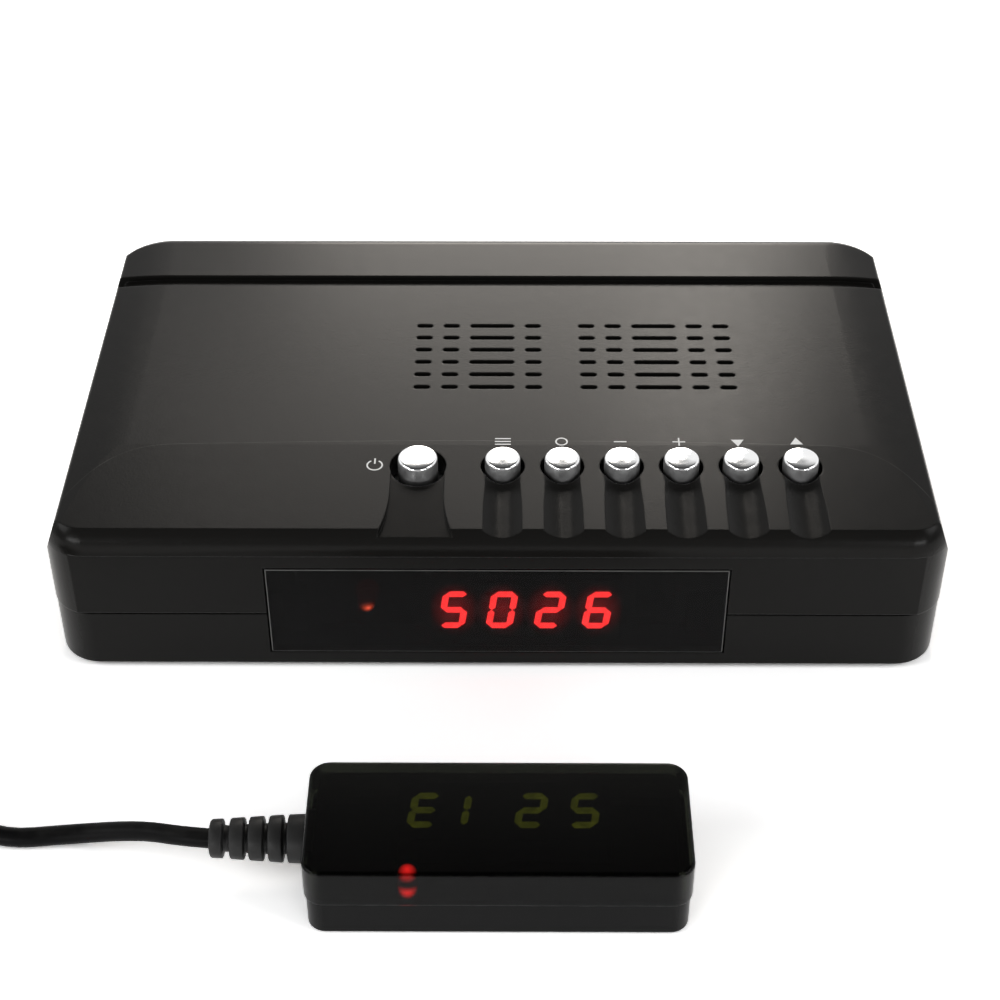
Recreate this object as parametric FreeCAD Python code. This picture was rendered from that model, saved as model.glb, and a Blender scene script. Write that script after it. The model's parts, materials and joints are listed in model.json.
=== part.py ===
import FreeCAD, Part
import math
import os

from FreeCAD import Vector

# Satellite TV receiver with its wired infrared eye, in millimetres, +Z up.
# The origin is on the surface that the feet stand on, under the middle of the housing.
# The front, with the display window, faces -Y. Sockets face +Y.

# Drawing aids: how far a cutting block passes the face it opens, how far a joined piece
# reaches into its neighbour, and how closely an edge is matched to a face
overcut = 1.0
rooting = 0.5
match = 0.01

# Housing
body_width = 145.0
body_depth = 88.0
body_height = 28.5
foot_drop = 0.8
split_height = 11.3
wall = 2.0
front_corner_radius = 7.0
rear_corner_radius = 11.0
nose_height = 4.8
nose_depth = 2.3
nose_overhang = 0.4
crown_width = 9.0
crown_drop = 0.5
rim_radius = 0.8
shoulder_drop = 7.9
shoulder_inset = 2.6
shoulder_radius = 6.0
top_edge_radius = 4.0
bottom_edge_radius = 0.5
apron_depth = 22.7
apron_fall = 1.2
groove_width = 3.3
groove_depth = 1.0
groove_setback = 14.8
roof_extra = 0.4
split_gap = 0.3
split_gap_depth = 0.7
lip_thickness = 1.0
lip_height = 1.6
lip_root_depth = 2.0
fit_gap = 0.15
running_gap = 0.35
blend_skin = 0.005

# Display window and what stands behind it
lens_width = 74.0
lens_height = 17.8
lens_rise = 2.9
lens_flange = 1.3
lens_flange_thickness = 0.8
lens_gap = 0.25
lens_proud = 0.1
lens_chamfer = 0.2
display_width = 31.0
display_height = 13.0
display_thickness = 5.2
display_setback = 3.3
display_drop = 1.9
display_shift = 4.7
digit_height = 7.9
digit_width = 4.4
digit_pitch = 7.84
digit_slant = 8.0
segment_width = 1.05
segment_relief = 0.2
front_board_width = 66.0
front_board_thickness = 1.2
front_board_height = 18.0
status_led_shift = -21.4
status_led_radius = 1.5
status_led_base = 1.5
status_led_base_step = 0.4
receiver_shift = 26.0
receiver_width = 6.0
receiver_height = 7.0
receiver_depth = 3.0
receiver_bulge_radius = 2.2
receiver_bulge_rise = 0.6

# Push buttons, in a row behind the nose
button_setback = 17.3
button_margin = 23.25
button_pitch = 9.68
power_button_pitch = 13.8
small_buttons = ["menu", "ok", "volume_down", "volume_up", "channel_down", "channel_up"]
power_cap_radius = 3.25
power_hole_radius = 4.6
small_cap_radius = 2.9
small_hole_radius = 3.6
cap_rise = 1.8
cap_edge_radius = 0.6
button_travel = 0.5
button_flange_step = 0.6
button_flange_thickness = 1.0
button_pad_depth = 4.0
pad_margin = 1.5
channel_half_width = 3.1
channel_rise = 0.9
channel_head_depth = 0.75
channel_mouth_depth = 1.6
channel_overrun = 3.0
recess_head_half_width = 4.35
recess_mouth_half_width = 6.25
recess_head_depth = 0.4
recess_mouth_depth = 1.55
recess_straight_share = 0.4

# Key switches and their board
switch_size = 6.0
switch_height = 3.5
plunger_radius = 1.6
plunger_rise = 2.0
plunger_depth = 1.5
board_thickness = 1.6
key_board_depth = 11.5
post_radius = 1.8
screw_radius = 0.9
screw_head_radius = 2.0
screw_head_height = 1.3
screw_bite = 4.0
screw_gap = 0.1
screw_rim_share = 0.45
screw_cross_depth_share = 0.55
screw_cross_length_share = 1.1
screw_cross_width_share = 0.28

# Vents in the top
vent_rows = 6
vent_row_pitch = 3.656
vent_first_row_y = -5.23
vent_slot_height = 1.1
vent_slot_gap = 1.88
vent_short = 2.85
vent_long = 7.8
vent_left_start = -14.5
vent_right_start = 14.1
vent_left_slots = [vent_short, vent_short, vent_long, vent_short]
vent_right_slots = [vent_short, vent_short, vent_long, vent_short, vent_short]

# Screws and feet that hold and carry the housing
case_boss_radius = 3.8
case_boss_inset = 10.5
case_screw_radius = 1.3
case_screw_head_radius = 2.5
case_screw_head_height = 1.8
case_screw_sink = 2.6
case_screw_length = 17.0
foot_radius = 5.0
foot_edge_radius = 0.4
foot_pocket = 0.7
foot_inset_x = 24.0
foot_inset_y = 11.0
floor_slot_width = 26.0
floor_slot_height = 1.6
floor_slot_pitch = 4.6
floor_slot_count = 7

# Main board
main_board_margin = 15.0
main_board_lift = 3.2
board_post_radius = 3.0
board_hole_inset = 4.5

# Rear panel and its sockets
rear_panel_thickness = 1.2
rear_window_width = 108.0
rear_window_rise = 3.4
rear_window_height = 17.3
panel_overlap = 1.3
panel_clearance = 0.25
antenna_radius = 4.75
antenna_neck_radius = 4.3
antenna_length = 11.0
antenna_hex = 11.0
antenna_hex_length = 3.0
antenna_bore_radius = 1.9
antenna_bore_floor = 2.0
antenna_chamfer = 0.5
antenna_height = 7.5
hdmi_width = 15.0
hdmi_height = 6.0
hdmi_tongue_width = 11.1
hdmi_tongue_rise = 2.5
hdmi_tongue_thickness = 1.0
usb_width = 13.2
usb_height = 6.2
usb_tongue_width = 11.1
usb_tongue_rise = 3.4
usb_tongue_thickness = 1.8
tongue_setback = 1.5
socket_depth = 13.0
socket_wall = 0.4
socket_back = 1.2
socket_proud = 0.4
jack_width = 7.0
jack_height = 6.4
jack_depth = 13.0
jack_collar_radius = 3.0
jack_bore_radius = 1.85
jack_bore_depth = 12.0
dc_jack_width = 9.0
dc_jack_height = 11.0
dc_jack_depth = 14.0
dc_bore_radius = 3.1
dc_pin_radius = 1.0
dc_pin_setback = 1.0
dc_bore_depth = 9.5

# Parts on the main board
tuner_width = 30.0
tuner_depth = 24.0
tuner_height = 12.5
tuner_wall = 0.5
tuner_dimple_radius = 1.5
chip_size = 18.0
chip_height = 1.8
chip_x = 0.0
chip_y = 4.0
heat_sink_size = 22.0
heat_sink_base = 1.6
heat_sink_height = 7.0
fin_count = 7
fin_thickness = 1.0
memory_width = 13.5
memory_depth = 8.0
memory_height = 1.0
capacitor_sizes = [(3.2, 9.0), (3.2, 9.0), (4.0, 11.0), (2.5, 7.0), (2.5, 7.0)]
capacitor_margin = 24.5
capacitor_row_y = -20.0
capacitor_gap = 1.5
capacitor_edge_radius = 0.4
inductor_size = 8.0
inductor_height = 4.0
inductor_chamfer = 1.6
header_width = 26.0
header_size = 2.5
cable_width = 12.0
cable_thickness = 0.6
cable_socket_margin = 1.0
cable_socket_floor = 1.0
cable_socket_depth = 3.0
cable_socket_height = 3.0
cable_margin = 34.5

# Wired infrared eye, lying in front of the housing
eye_width = 55.9
eye_depth = 21.7
eye_height = 13.3
eye_center_x = 0.45
eye_center_y = -87.85
eye_split = 6.6
eye_wall = 1.4
eye_corner_radius = 3.0
eye_base_inset = 0.3
eye_edge_radius = 0.6
eye_ledge = 1.2
eye_board_rise = 4.0
eye_board_thickness = 1.0
eye_display_shift = 0.9
eye_display_width = 31.0
eye_display_depth = 11.0
eye_display_height = 5.2
eye_display_setback = 14.4
eye_digit_height = 6.6
eye_led_x = -12.5
eye_led_setback = 3.5
eye_led_radius = 1.5
eye_led_height = 5.4
eye_receiver_x = 5.0
eye_receiver_height = 5.0
eye_receiver_bulge_radius = 1.3
relief_y = -86.4
relief_z = 6.65
relief_length = 14.4
relief_radius = 3.75
relief_end_radius = 2.75
relief_core_radius = 1.9
relief_bridge = 1.5
relief_collar_step = 0.6
relief_collar_width = 1.0
relief_ribs = 5
relief_rib_width = 1.9

# Lead of the eye: its free length is wound in a flat coil on the standing surface
cord_diameter = 3.0
coil_center = Vector(-110.0, -84.5, 0.0)
coil_mid_radius = 17.0
coil_layers = 2
coil_columns = 5
coil_edge_radius = 1.2
tie_width = 5.0
tie_thickness = 0.6
tie_gap = 0.1
plug_radius = 3.6
plug_length = 13.0
plug_edge_radius = 0.7
plug_neck_radius = 2.4
plug_neck_end_radius = 3.1
plug_neck_length = 6.0
plug_pin_radius = 1.75
plug_pin_length = 14.0
plug_tip_radius = 1.0

# Levels and faces that follow from the sizes above
underside = foot_drop
split = underside + split_height
top = underside + body_height
shoulder = top - shoulder_drop
half_width = body_width / 2
front = -body_depth / 2
rear = body_depth / 2
panel_face = front + nose_overhang
floor_top = underside + wall
ceiling = top - wall
inner_front = panel_face + wall
inner_rear = rear - wall
button_y = front + button_setback
first_button_x = half_width - button_margin - (len(small_buttons) - 1) * button_pitch
power_button_x = first_button_x - power_button_pitch
pad_underside = top - button_pad_depth
flange_top = pad_underside - running_gap
flange_bottom = flange_top - button_flange_thickness
switch_top = flange_bottom - plunger_rise
key_board_top = switch_top - switch_height
key_board_bottom = key_board_top - board_thickness
main_board_bottom = floor_top + main_board_lift
main_board_top = main_board_bottom + board_thickness
panel_rear_face = inner_rear
panel_front_face = panel_rear_face - rear_panel_thickness
main_board_rear_y = panel_front_face - running_gap

# The tuner and the sockets stand in a row between the board screws, with equal gaps
row_end = half_width - main_board_margin - board_hole_inset - screw_head_radius - running_gap
row_widths = [tuner_width, hdmi_width, usb_width, jack_width, jack_width, dc_jack_width]
row_gap = (2 * row_end - sum(row_widths)) / (len(row_widths) - 1)
row_centers = [sum(row_widths[:index]) + index * row_gap + width / 2 - row_end
               for index, width in enumerate(row_widths)]
tuner_x, hdmi_x, usb_x, av_jack_x, infrared_jack_x, dc_jack_x = row_centers
antenna_x = tuner_x - tuner_width / 6

lens_bottom = underside + lens_rise
lens_top = lens_bottom + lens_height
lens_front = panel_face - lens_proud
lens_seat = inner_front
display_face = lens_front + display_setback
front_board_face = display_face + display_thickness
front_board_back = front_board_face + front_board_thickness
main_board_front_y = front_board_back + wall + running_gap
display_z = lens_bottom + lens_height / 2 - display_drop
capacitor_x = half_width - capacitor_margin
cable_x = half_width - cable_margin
eye_left = eye_center_x - eye_width / 2
eye_front = eye_center_y - eye_depth / 2
eye_display_y = eye_front + eye_display_setback
eye_led_y = eye_front + eye_led_setback
eye_board_top = eye_board_rise + eye_board_thickness
cord_radius = cord_diameter / 2
coil_half_band = coil_columns * cord_diameter / 2
coil_height = coil_layers * cord_diameter
coil_inner_radius = coil_mid_radius - coil_half_band
coil_outer_radius = coil_mid_radius + coil_half_band
coil_outer_turn = coil_outer_radius - cord_radius
jack_mouth = rear - wall + socket_proud
jack_block_end = panel_front_face - running_gap


def box(x0, x1, y0, y1, z0, z1):
    """Block between two corners."""
    return Part.makeBox(x1 - x0, y1 - y0, z1 - z0, Vector(x0, y0, z0))


def centered_box(x, y, width, depth, z0, z1):
    """Block of a plan size about a centre, between two heights."""
    return box(x - width / 2, x + width / 2, y - depth / 2, y + depth / 2, z0, z1)


def upright(x, y, radius, z0, z1):
    """Upright cylinder between two heights."""
    return Part.makeCylinder(radius, z1 - z0, Vector(x, y, z0))


def rearward(x, z, radius, y0, y1):
    """Cylinder along +Y between two faces."""
    return Part.makeCylinder(radius, y1 - y0, Vector(x, y0, z), Vector(0, 1, 0))


def sideways(y, z, radius, x0, x1):
    """Cylinder along +X between two faces."""
    return Part.makeCylinder(radius, x1 - x0, Vector(x0, y, z), Vector(1, 0, 0))


def joined(shapes):
    """One solid made of overlapping or touching shapes."""
    result = shapes[0]
    for shape in shapes[1:]:
        result = result.fuse(shape)
    return result.removeSplitter()


def group(shapes):
    """Separate solids kept in one node."""
    return Part.makeCompound(shapes)


def corner_arc(cx, cy, radius, start_degrees, z):
    """Quarter circle of a plan outline, anticlockwise from its start angle."""
    points = []
    for degrees in (start_degrees, start_degrees + 45, start_degrees + 90):
        angle = math.radians(degrees)
        points.append(Vector(cx + radius * math.cos(angle), cy + radius * math.sin(angle), z))
    return Part.Arc(points[0], points[1], points[2]).toShape()


def outline(half, y_front, y_rear, front_radius, rear_radius, z):
    """Rounded plan face, symmetrical about X, with its own front and rear corner radii."""
    corners = [
        (-half + front_radius, y_front + front_radius, front_radius, 180),
        (half - front_radius, y_front + front_radius, front_radius, 270),
        (half - rear_radius, y_rear - rear_radius, rear_radius, 0),
        (-half + rear_radius, y_rear - rear_radius, rear_radius, 90),
    ]
    arcs = [corner_arc(cx, cy, radius, start, z) for cx, cy, radius, start in corners]
    edges = []
    for arc, following in zip(arcs, arcs[1:] + arcs[:1]):
        edges.append(arc)
        edges.append(Part.LineSegment(arc.valueAt(arc.LastParameter),
                                      following.valueAt(following.FirstParameter)).toShape())
    return Part.Face(Part.Wire(edges))


def slab(half, y_front, y_rear, front_radius, rear_radius, z0, z1):
    """Rounded plan outline raised between two heights."""
    face = outline(half, y_front, y_rear, front_radius, rear_radius, z0)
    return face.extrude(Vector(0, 0, z1 - z0))


def edges_at(shape, z):
    """Edges that lie level at a height."""
    found = []
    for edge in shape.Edges:
        bounds = edge.BoundBox
        if abs(bounds.ZMin - z) < match and abs(bounds.ZMax - z) < match:
            found.append(edge)
    return found


def polygon_along_x(points, x0, x1):
    """Prism with a side profile of (y, z) points."""
    corners = [Vector(x0, y, z) for y, z in points]
    face = Part.Face(Part.makePolygon(corners + corners[:1]))
    return face.extrude(Vector(x1 - x0, 0, 0))


def shoulder_section(drop, y0, y1):
    """Prism drawn in by a drop: upright to the shoulder, leaning sides above it, then a faintly crowned top."""
    half = half_width - drop
    inner = half - shoulder_inset
    flat = inner - crown_width
    level = top - drop
    side = level - crown_drop
    base = split - split_height
    crown_radius = (crown_width ** 2 + crown_drop ** 2) / (2 * crown_drop)
    middle = crown_width / 2
    middle_fall = crown_radius - math.sqrt(crown_radius ** 2 - middle ** 2)
    edges = [
        Part.LineSegment(Vector(-flat, y0, level), Vector(flat, y0, level)).toShape(),
        Part.LineSegment(Vector(half, y0, base), Vector(-half, y0, base)).toShape(),
    ]
    for sign in (-1, 1):
        edges += [
            Part.Arc(Vector(sign * flat, y0, level), Vector(sign * (flat + middle), y0, level - middle_fall),
                     Vector(sign * inner, y0, side)).toShape(),
            Part.LineSegment(Vector(sign * inner, y0, side), Vector(sign * half, y0, shoulder)).toShape(),
            Part.LineSegment(Vector(sign * half, y0, shoulder), Vector(sign * half, y0, base)).toShape(),
        ]
    prism = Part.Face(Part.Wire(Part.__sortEdges__(edges))).extrude(Vector(0, y1 - y0, 0))
    blended = prism.makeFillet(shoulder_radius, edges_at(prism, shoulder))
    return blended.makeFillet(rim_radius, edges_at(blended, side))


def shouldered_block():
    """Everything under the top, with leaning sides and with its side and rear top edges rounded."""
    ahead = front - front_corner_radius * 2
    walls = slab(half_width, ahead, rear, front_corner_radius, rear_corner_radius, split, top)
    rounded = walls.makeFillet(top_edge_radius, edges_at(walls, top))
    return rounded.common(shoulder_section(0, ahead - overcut, rear + overcut))


def nose_block():
    """Rounded plan block whose top edge has the radius of the nose."""
    nose_radius = (nose_depth ** 2 + nose_height ** 2) / (2 * nose_depth)
    level = top - nose_height + nose_radius
    skin = blend_skin
    block = slab(half_width + skin, front, rear + front_corner_radius, front_corner_radius + skin,
                 front_corner_radius, split - overcut, level)
    return block.makeFillet(nose_radius, edges_at(block, level))


def apron_cut():
    """What lies over the front zone of the top, which falls gently towards the nose."""
    hinge_y = front + apron_depth
    reach = apron_depth * 2
    fall = reach * math.tan(math.radians(apron_fall))
    above = top + overcut
    points = [(hinge_y, top), (hinge_y - reach, top - fall), (hinge_y - reach, above), (hinge_y, above)]
    return polygon_along_x(points, -body_width, body_width)


def housing_outside():
    """Outer shape of the top cover, from the parting line up."""
    shape = shouldered_block().common(nose_block())
    shape = shape.cut(apron_cut())
    step = box(-body_width, body_width, front - overcut, panel_face, split - overcut, top - nose_height)
    return shape.cut(step)


def cover_cavity():
    """Hollow of the top cover, with a roof a little thicker than the walls."""
    level = ceiling - roof_extra
    cavity = slab(half_width - wall, inner_front, inner_rear, front_corner_radius - wall,
                  rear_corner_radius - wall, split - overcut, level)
    rounded = cavity.makeFillet(top_edge_radius, edges_at(cavity, level))
    return rounded.common(shoulder_section(wall, inner_front - overcut, inner_rear + overcut))


def buttons():
    """Name, place and radii of each button, from left to right."""
    rows = [("power", power_button_x, power_cap_radius, power_hole_radius)]
    for index, name in enumerate(small_buttons):
        rows.append((name, first_button_x + index * button_pitch, small_cap_radius, small_hole_radius))
    return rows


def key_posts():
    """X of the posts that carry the key board: outside the row and in its wide gap."""
    clear = post_radius + running_gap
    power_reach = power_hole_radius + button_flange_step
    small_reach = small_hole_radius + button_flange_step
    last_x = buttons()[-1][1]
    middle = (power_button_x + power_reach + first_button_x - small_reach) / 2
    return [power_button_x - power_reach - clear, middle, last_x + small_reach + clear]


def channel_section(x, y, depth):
    """U section of a button channel: upright sides and an arched bottom."""
    bottom = top - depth
    side = bottom + channel_rise
    above = top + overcut
    left = x - channel_half_width
    right = x + channel_half_width
    return Part.Wire([
        Part.Arc(Vector(left, y, side), Vector(x, y, bottom), Vector(right, y, side)).toShape(),
        Part.LineSegment(Vector(right, y, side), Vector(right, y, above)).toShape(),
        Part.LineSegment(Vector(right, y, above), Vector(left, y, above)).toShape(),
        Part.LineSegment(Vector(left, y, above), Vector(left, y, side)).toShape(),
    ])


def depth_past_mouth(head_depth, mouth_depth):
    """Depth of a sloping floor that is carried on beyond the front face."""
    run = button_y - front
    return head_depth + (mouth_depth - head_depth) * (run + channel_overrun) / run


def channel_cut(x):
    """Channel that runs from a small button out over the nose."""
    mouth = depth_past_mouth(channel_head_depth, channel_mouth_depth)
    head_section = channel_section(x, button_y, channel_head_depth)
    mouth_section = channel_section(x, front - channel_overrun, mouth)
    return Part.makeLoft([head_section, mouth_section], True, True)


def recess_cut():
    """Flat-floored recess in front of the power button, which flares towards the nose."""
    x = power_button_x
    run = button_y - front
    straight_y = button_y - run * recess_straight_share
    flare_run = straight_y - front
    flare = recess_mouth_half_width - recess_head_half_width
    middle_flare = flare / 4
    past_y = front - channel_overrun
    past_half = recess_mouth_half_width + flare * 2 * channel_overrun / flare_run
    z = pad_underside
    edges = []
    for sign in (1, -1):
        head = Vector(x + sign * recess_head_half_width, button_y, z)
        bend = Vector(x + sign * recess_head_half_width, straight_y, z)
        mid = Vector(x + sign * (recess_head_half_width + middle_flare), straight_y - flare_run / 2, z)
        mouth = Vector(x + sign * recess_mouth_half_width, front, z)
        past = Vector(x + sign * past_half, past_y, z)
        edges.append(Part.LineSegment(head, bend).toShape())
        edges.append(Part.Arc(bend, mid, mouth).toShape())
        edges.append(Part.LineSegment(mouth, past).toShape())
    edges.append(Part.LineSegment(Vector(x - past_half, past_y, z), Vector(x + past_half, past_y, z)).toShape())
    edges.append(Part.LineSegment(Vector(x - recess_head_half_width, button_y, z),
                                  Vector(x + recess_head_half_width, button_y, z)).toShape())
    plan = Part.Face(Part.Wire(Part.__sortEdges__(edges)))
    above = top + overcut
    raised = plan.extrude(Vector(0, 0, above - z))
    mouth_depth = depth_past_mouth(recess_head_depth, recess_mouth_depth)
    above_floor = polygon_along_x([(button_y, top - recess_head_depth), (past_y, top - mouth_depth),
                                   (past_y, above), (button_y, above)], x - past_half, x + past_half)
    return raised.common(above_floor)


def vent_cut(x0, x1, y):
    """One slot of the vents, with rounded ends, right through the top."""
    radius = vent_slot_height / 2
    z0 = ceiling - roof_extra - overcut
    z1 = top + overcut
    return joined([
        box(x0 + radius, x1 - radius, y - radius, y + radius, z0, z1),
        upright(x0 + radius, y, radius, z0, z1),
        upright(x1 - radius, y, radius, z0, z1),
    ])


def vent_cuts():
    """Every slot of both vent groups."""
    cuts = []
    for row in range(vent_rows):
        y = vent_first_row_y + row * vent_row_pitch
        for start, slots in ((vent_left_start, vent_left_slots), (vent_right_start, vent_right_slots)):
            x = start
            for length in slots:
                cuts.append(vent_cut(x, x + length, y))
                x += length + vent_slot_gap
    return cuts


def groove_cut():
    """Shallow groove across the top near the rear, which runs down both leaning sides."""
    y1 = rear - groove_setback
    y0 = y1 - groove_width
    reach = half_width + overcut
    band = box(-reach, reach, y0, y1, shoulder, top + overcut)
    return band.cut(shoulder_section(groove_depth, y0 - overcut, y1 + overcut))


def lens_cut():
    """Opening for the display window, through both covers."""
    half = lens_width / 2 + lens_gap
    return box(-half, half, front - overcut, inner_front + overcut, lens_bottom - lens_gap, lens_top + lens_gap)


def rear_window_cut():
    """Opening for the sockets, through both covers."""
    half = rear_window_width / 2
    z0 = underside + rear_window_rise
    return box(-half, half, inner_rear - overcut, rear + overcut, z0, z0 + rear_window_height)


def case_boss_places():
    """Centres of the four case screws."""
    x = half_width - case_boss_inset
    return [(sx * x, y) for sx in (-1, 1) for y in (front + case_boss_inset, rear - case_boss_inset)]


def top_cover():
    """Upper shell with its vents, button channels, bosses and window cut-outs."""
    shell = housing_outside().cut(cover_cavity())
    inside = slab(half_width - wall, inner_front, inner_rear, front_corner_radius - wall,
                  rear_corner_radius - wall, split, top)
    posts = key_posts()
    pad = box(posts[0] - post_radius - pad_margin, posts[-1] + post_radius + pad_margin, panel_face + rooting,
              button_y + power_hole_radius + pad_margin, pad_underside, ceiling + rooting)
    solids = [shell, pad.common(inside.fuse(housing_outside()))]
    for x in posts:
        solids.append(upright(x, button_y, post_radius, key_board_top, pad_underside + rooting))
    for x, y in case_boss_places():
        solids.append(upright(x, y, case_boss_radius, split, ceiling).common(inside))
    shell = joined(solids)
    cuts = vent_cuts() + [groove_cut(), lens_cut(), rear_window_cut(), recess_cut()]
    for name, x, cap_radius, hole_radius in buttons():
        cuts.append(upright(x, button_y, hole_radius, key_board_bottom, top + overcut))
        if name != "power":
            cuts.append(channel_cut(x))
    for x in posts:
        cuts.append(upright(x, button_y, screw_radius + screw_gap, key_board_top - overcut,
                            key_board_top + screw_bite + screw_gap))
    screw_end = underside + case_screw_sink + case_screw_length + screw_gap
    for x, y in case_boss_places():
        cuts.append(upright(x, y, case_screw_radius + screw_gap, split - overcut, screw_end))
    for cut in cuts:
        shell = shell.cut(cut)
    return shell


def board_post_places():
    """Centres of the four posts under the main board."""
    x = half_width - main_board_margin - board_hole_inset
    ys = (main_board_front_y + board_hole_inset, main_board_rear_y - board_hole_inset)
    return [(sx * x, y) for sx in (-1, 1) for y in ys]


def foot_places():
    """Centres of the four feet."""
    x = half_width - foot_inset_x
    y = rear - foot_inset_y
    return [(sx * x, sy * y) for sx in (-1, 1) for sy in (-1, 1)]


def board_guides():
    """Slotted guides that hold the ends of the front board upright."""
    guides = []
    depth = front_board_thickness + 2 * wall
    middle = (front_board_face + front_board_back) / 2
    for sign in (-1, 1):
        x = sign * (front_board_width / 2 + running_gap)
        guide = centered_box(x, middle, 2 * wall, depth, floor_top - rooting, split - running_gap)
        slot = centered_box(x - sign * wall, middle, 2 * wall, front_board_thickness + 2 * fit_gap,
                            floor_top, split)
        guides.append(guide.cut(slot))
    return guides


def inset_slab(inset, z0, z1):
    """Plan outline of the bottom cover, drawn in by an inset, between two heights."""
    return slab(half_width - inset, panel_face + inset, rear - inset, front_corner_radius - inset,
                rear_corner_radius - inset, z0, z1)


def bottom_cover():
    """Lower shell with its bosses, board posts, lip and pockets for the feet."""
    tray = inset_slab(0, underside, split)
    tray = tray.makeFillet(bottom_edge_radius, edges_at(tray, underside))
    tray = tray.cut(inset_slab(wall, floor_top, split + overcut))
    lip_out = wall + fit_gap
    lip_in = lip_out + lip_thickness
    lip_bottom = split - lip_root_depth
    lip_top = split + lip_height
    inside_lip = inset_slab(lip_in, lip_bottom - overcut, lip_top + overcut)
    lip = inset_slab(lip_out, lip_bottom, lip_top).cut(inside_lip)
    lip_root = inset_slab(wall - rooting, lip_bottom, split - lip_root_depth / 2).cut(inside_lip)
    solids = [tray, lip, lip_root] + board_guides()
    for x, y in case_boss_places():
        solids.append(upright(x, y, case_boss_radius, floor_top - rooting, split))
    for x, y in board_post_places():
        solids.append(upright(x, y, board_post_radius, floor_top - rooting, main_board_bottom))
    tray = joined(solids)
    parting_gap = inset_slab(-overcut, split - split_gap, split)
    parting_gap = parting_gap.cut(inset_slab(split_gap_depth, split - overcut, split + overcut))
    cuts = [parting_gap, lip_clearance()]
    seat = underside + case_screw_sink
    for x, y in case_boss_places():
        cuts.append(upright(x, y, case_screw_head_radius + screw_gap * 3, underside - overcut, seat))
        cuts.append(upright(x, y, case_screw_radius + screw_gap * 3, underside, lip_top + overcut))
        cuts.append(upright(x, y, case_boss_radius + fit_gap, split, lip_top + overcut))
    for x, y in board_post_places():
        cuts.append(upright(x, y, screw_radius + screw_gap, main_board_bottom - screw_bite,
                            main_board_bottom + overcut))
    for x, y in foot_places():
        cuts.append(upright(x, y, foot_radius + fit_gap, underside - overcut, underside + foot_pocket))
    for index in range(floor_slot_count):
        y = (index - (floor_slot_count - 1) / 2) * floor_slot_pitch
        for sign in (-1, 1):
            x = sign * half_width / 2
            cuts.append(centered_box(x, y, floor_slot_width, floor_slot_height, underside - overcut,
                                     floor_top + overcut))
    for cut in cuts:
        tray = tray.cut(cut)
    return tray


def lip_clearance():
    """Openings for the display window and the sockets, with room behind them for what they hold."""
    window_half = lens_width / 2 + lens_flange + fit_gap
    rear_half = rear_window_width / 2 + panel_overlap + fit_gap
    depth = 2 * lip_thickness + fit_gap
    above = split + lip_height + overcut
    return group([
        lens_cut(),
        box(-window_half, window_half, inner_front, inner_front + depth, floor_top, above),
        rear_window_cut(),
        box(-rear_half, rear_half, inner_rear - depth, inner_rear, floor_top, above),
    ])


def rear_panel():
    """Plate behind the rear opening, with a hole for each socket."""
    half = rear_window_width / 2 + panel_overlap
    z0 = floor_top + fit_gap
    z1 = underside + rear_window_rise + rear_window_height + panel_overlap
    plate = box(-half, half, panel_front_face, panel_rear_face, z0, z1)
    y0 = panel_front_face - overcut
    y1 = panel_rear_face + overcut
    gap = panel_clearance
    holes = [rearward(antenna_x, main_board_top + antenna_height, antenna_radius + gap, y0, y1)]
    for x, width, height in ((hdmi_x, hdmi_width, hdmi_height), (usb_x, usb_width, usb_height)):
        holes.append(box(x - width / 2 - gap, x + width / 2 + gap, y0, y1,
                         main_board_top - gap, main_board_top + height + gap))
    for x in (av_jack_x, infrared_jack_x):
        holes.append(rearward(x, main_board_top + jack_height / 2, jack_collar_radius + gap, y0, y1))
    holes.append(rearward(dc_jack_x, main_board_top + dc_jack_height / 2, dc_bore_radius + gap, y0, y1))
    for hole in holes:
        plate = plate.cut(hole)
    return plate


def display_lens():
    """Smoked window plate with a flange behind it that bears on the covers from inside."""
    half = lens_width / 2
    plate = box(-half, half, lens_front, lens_seat + rooting, lens_bottom, lens_top)
    upright_edges = [e for e in plate.Edges if abs(e.BoundBox.ZLength - lens_height) < match]
    front_edges = [e for e in upright_edges if e.BoundBox.YMax < lens_front + match]
    plate = plate.makeChamfer(lens_chamfer, front_edges)
    reach = lens_flange
    flange = box(-half - reach, half + reach, lens_seat, lens_seat + lens_flange_thickness,
                 max(lens_bottom - reach, floor_top + fit_gap), lens_top + reach)
    return joined([plate, flange])


def button(x, cap_radius, hole_radius):
    """Domed cap with a flange under the cover that keeps it in."""
    cap = upright(x, button_y, cap_radius, flange_top - rooting, top + cap_rise)
    cap = cap.makeFillet(cap_edge_radius, edges_at(cap, top + cap_rise))
    flange = upright(x, button_y, hole_radius + button_flange_step, flange_bottom, flange_top)
    return joined([cap, flange])


def plunger(x):
    """Moving stem of a key switch, which carries the button."""
    return upright(x, button_y, plunger_radius, switch_top - plunger_depth, flange_bottom)


def key_switches():
    """Fixed bodies of the key switches."""
    bodies = []
    for name, x, cap_radius, hole_radius in buttons():
        body = centered_box(x, button_y, switch_size, switch_size, key_board_top, switch_top)
        well = upright(x, button_y, plunger_radius + running_gap,
                       switch_top - plunger_depth - button_travel - running_gap, switch_top + overcut)
        bodies.append(body.cut(well))
    return group(bodies)


def key_board():
    """Board under the buttons, screwed to the posts of the top cover."""
    posts = key_posts()
    reach = post_radius + running_gap * 2
    board = box(posts[0] - reach, posts[-1] + reach, button_y - key_board_depth / 2,
                button_y + key_board_depth / 2, key_board_bottom, key_board_top)
    for x in posts:
        board = board.cut(upright(x, button_y, screw_radius + screw_gap, key_board_bottom - overcut,
                                  key_board_top + overcut))
    return board


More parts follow.
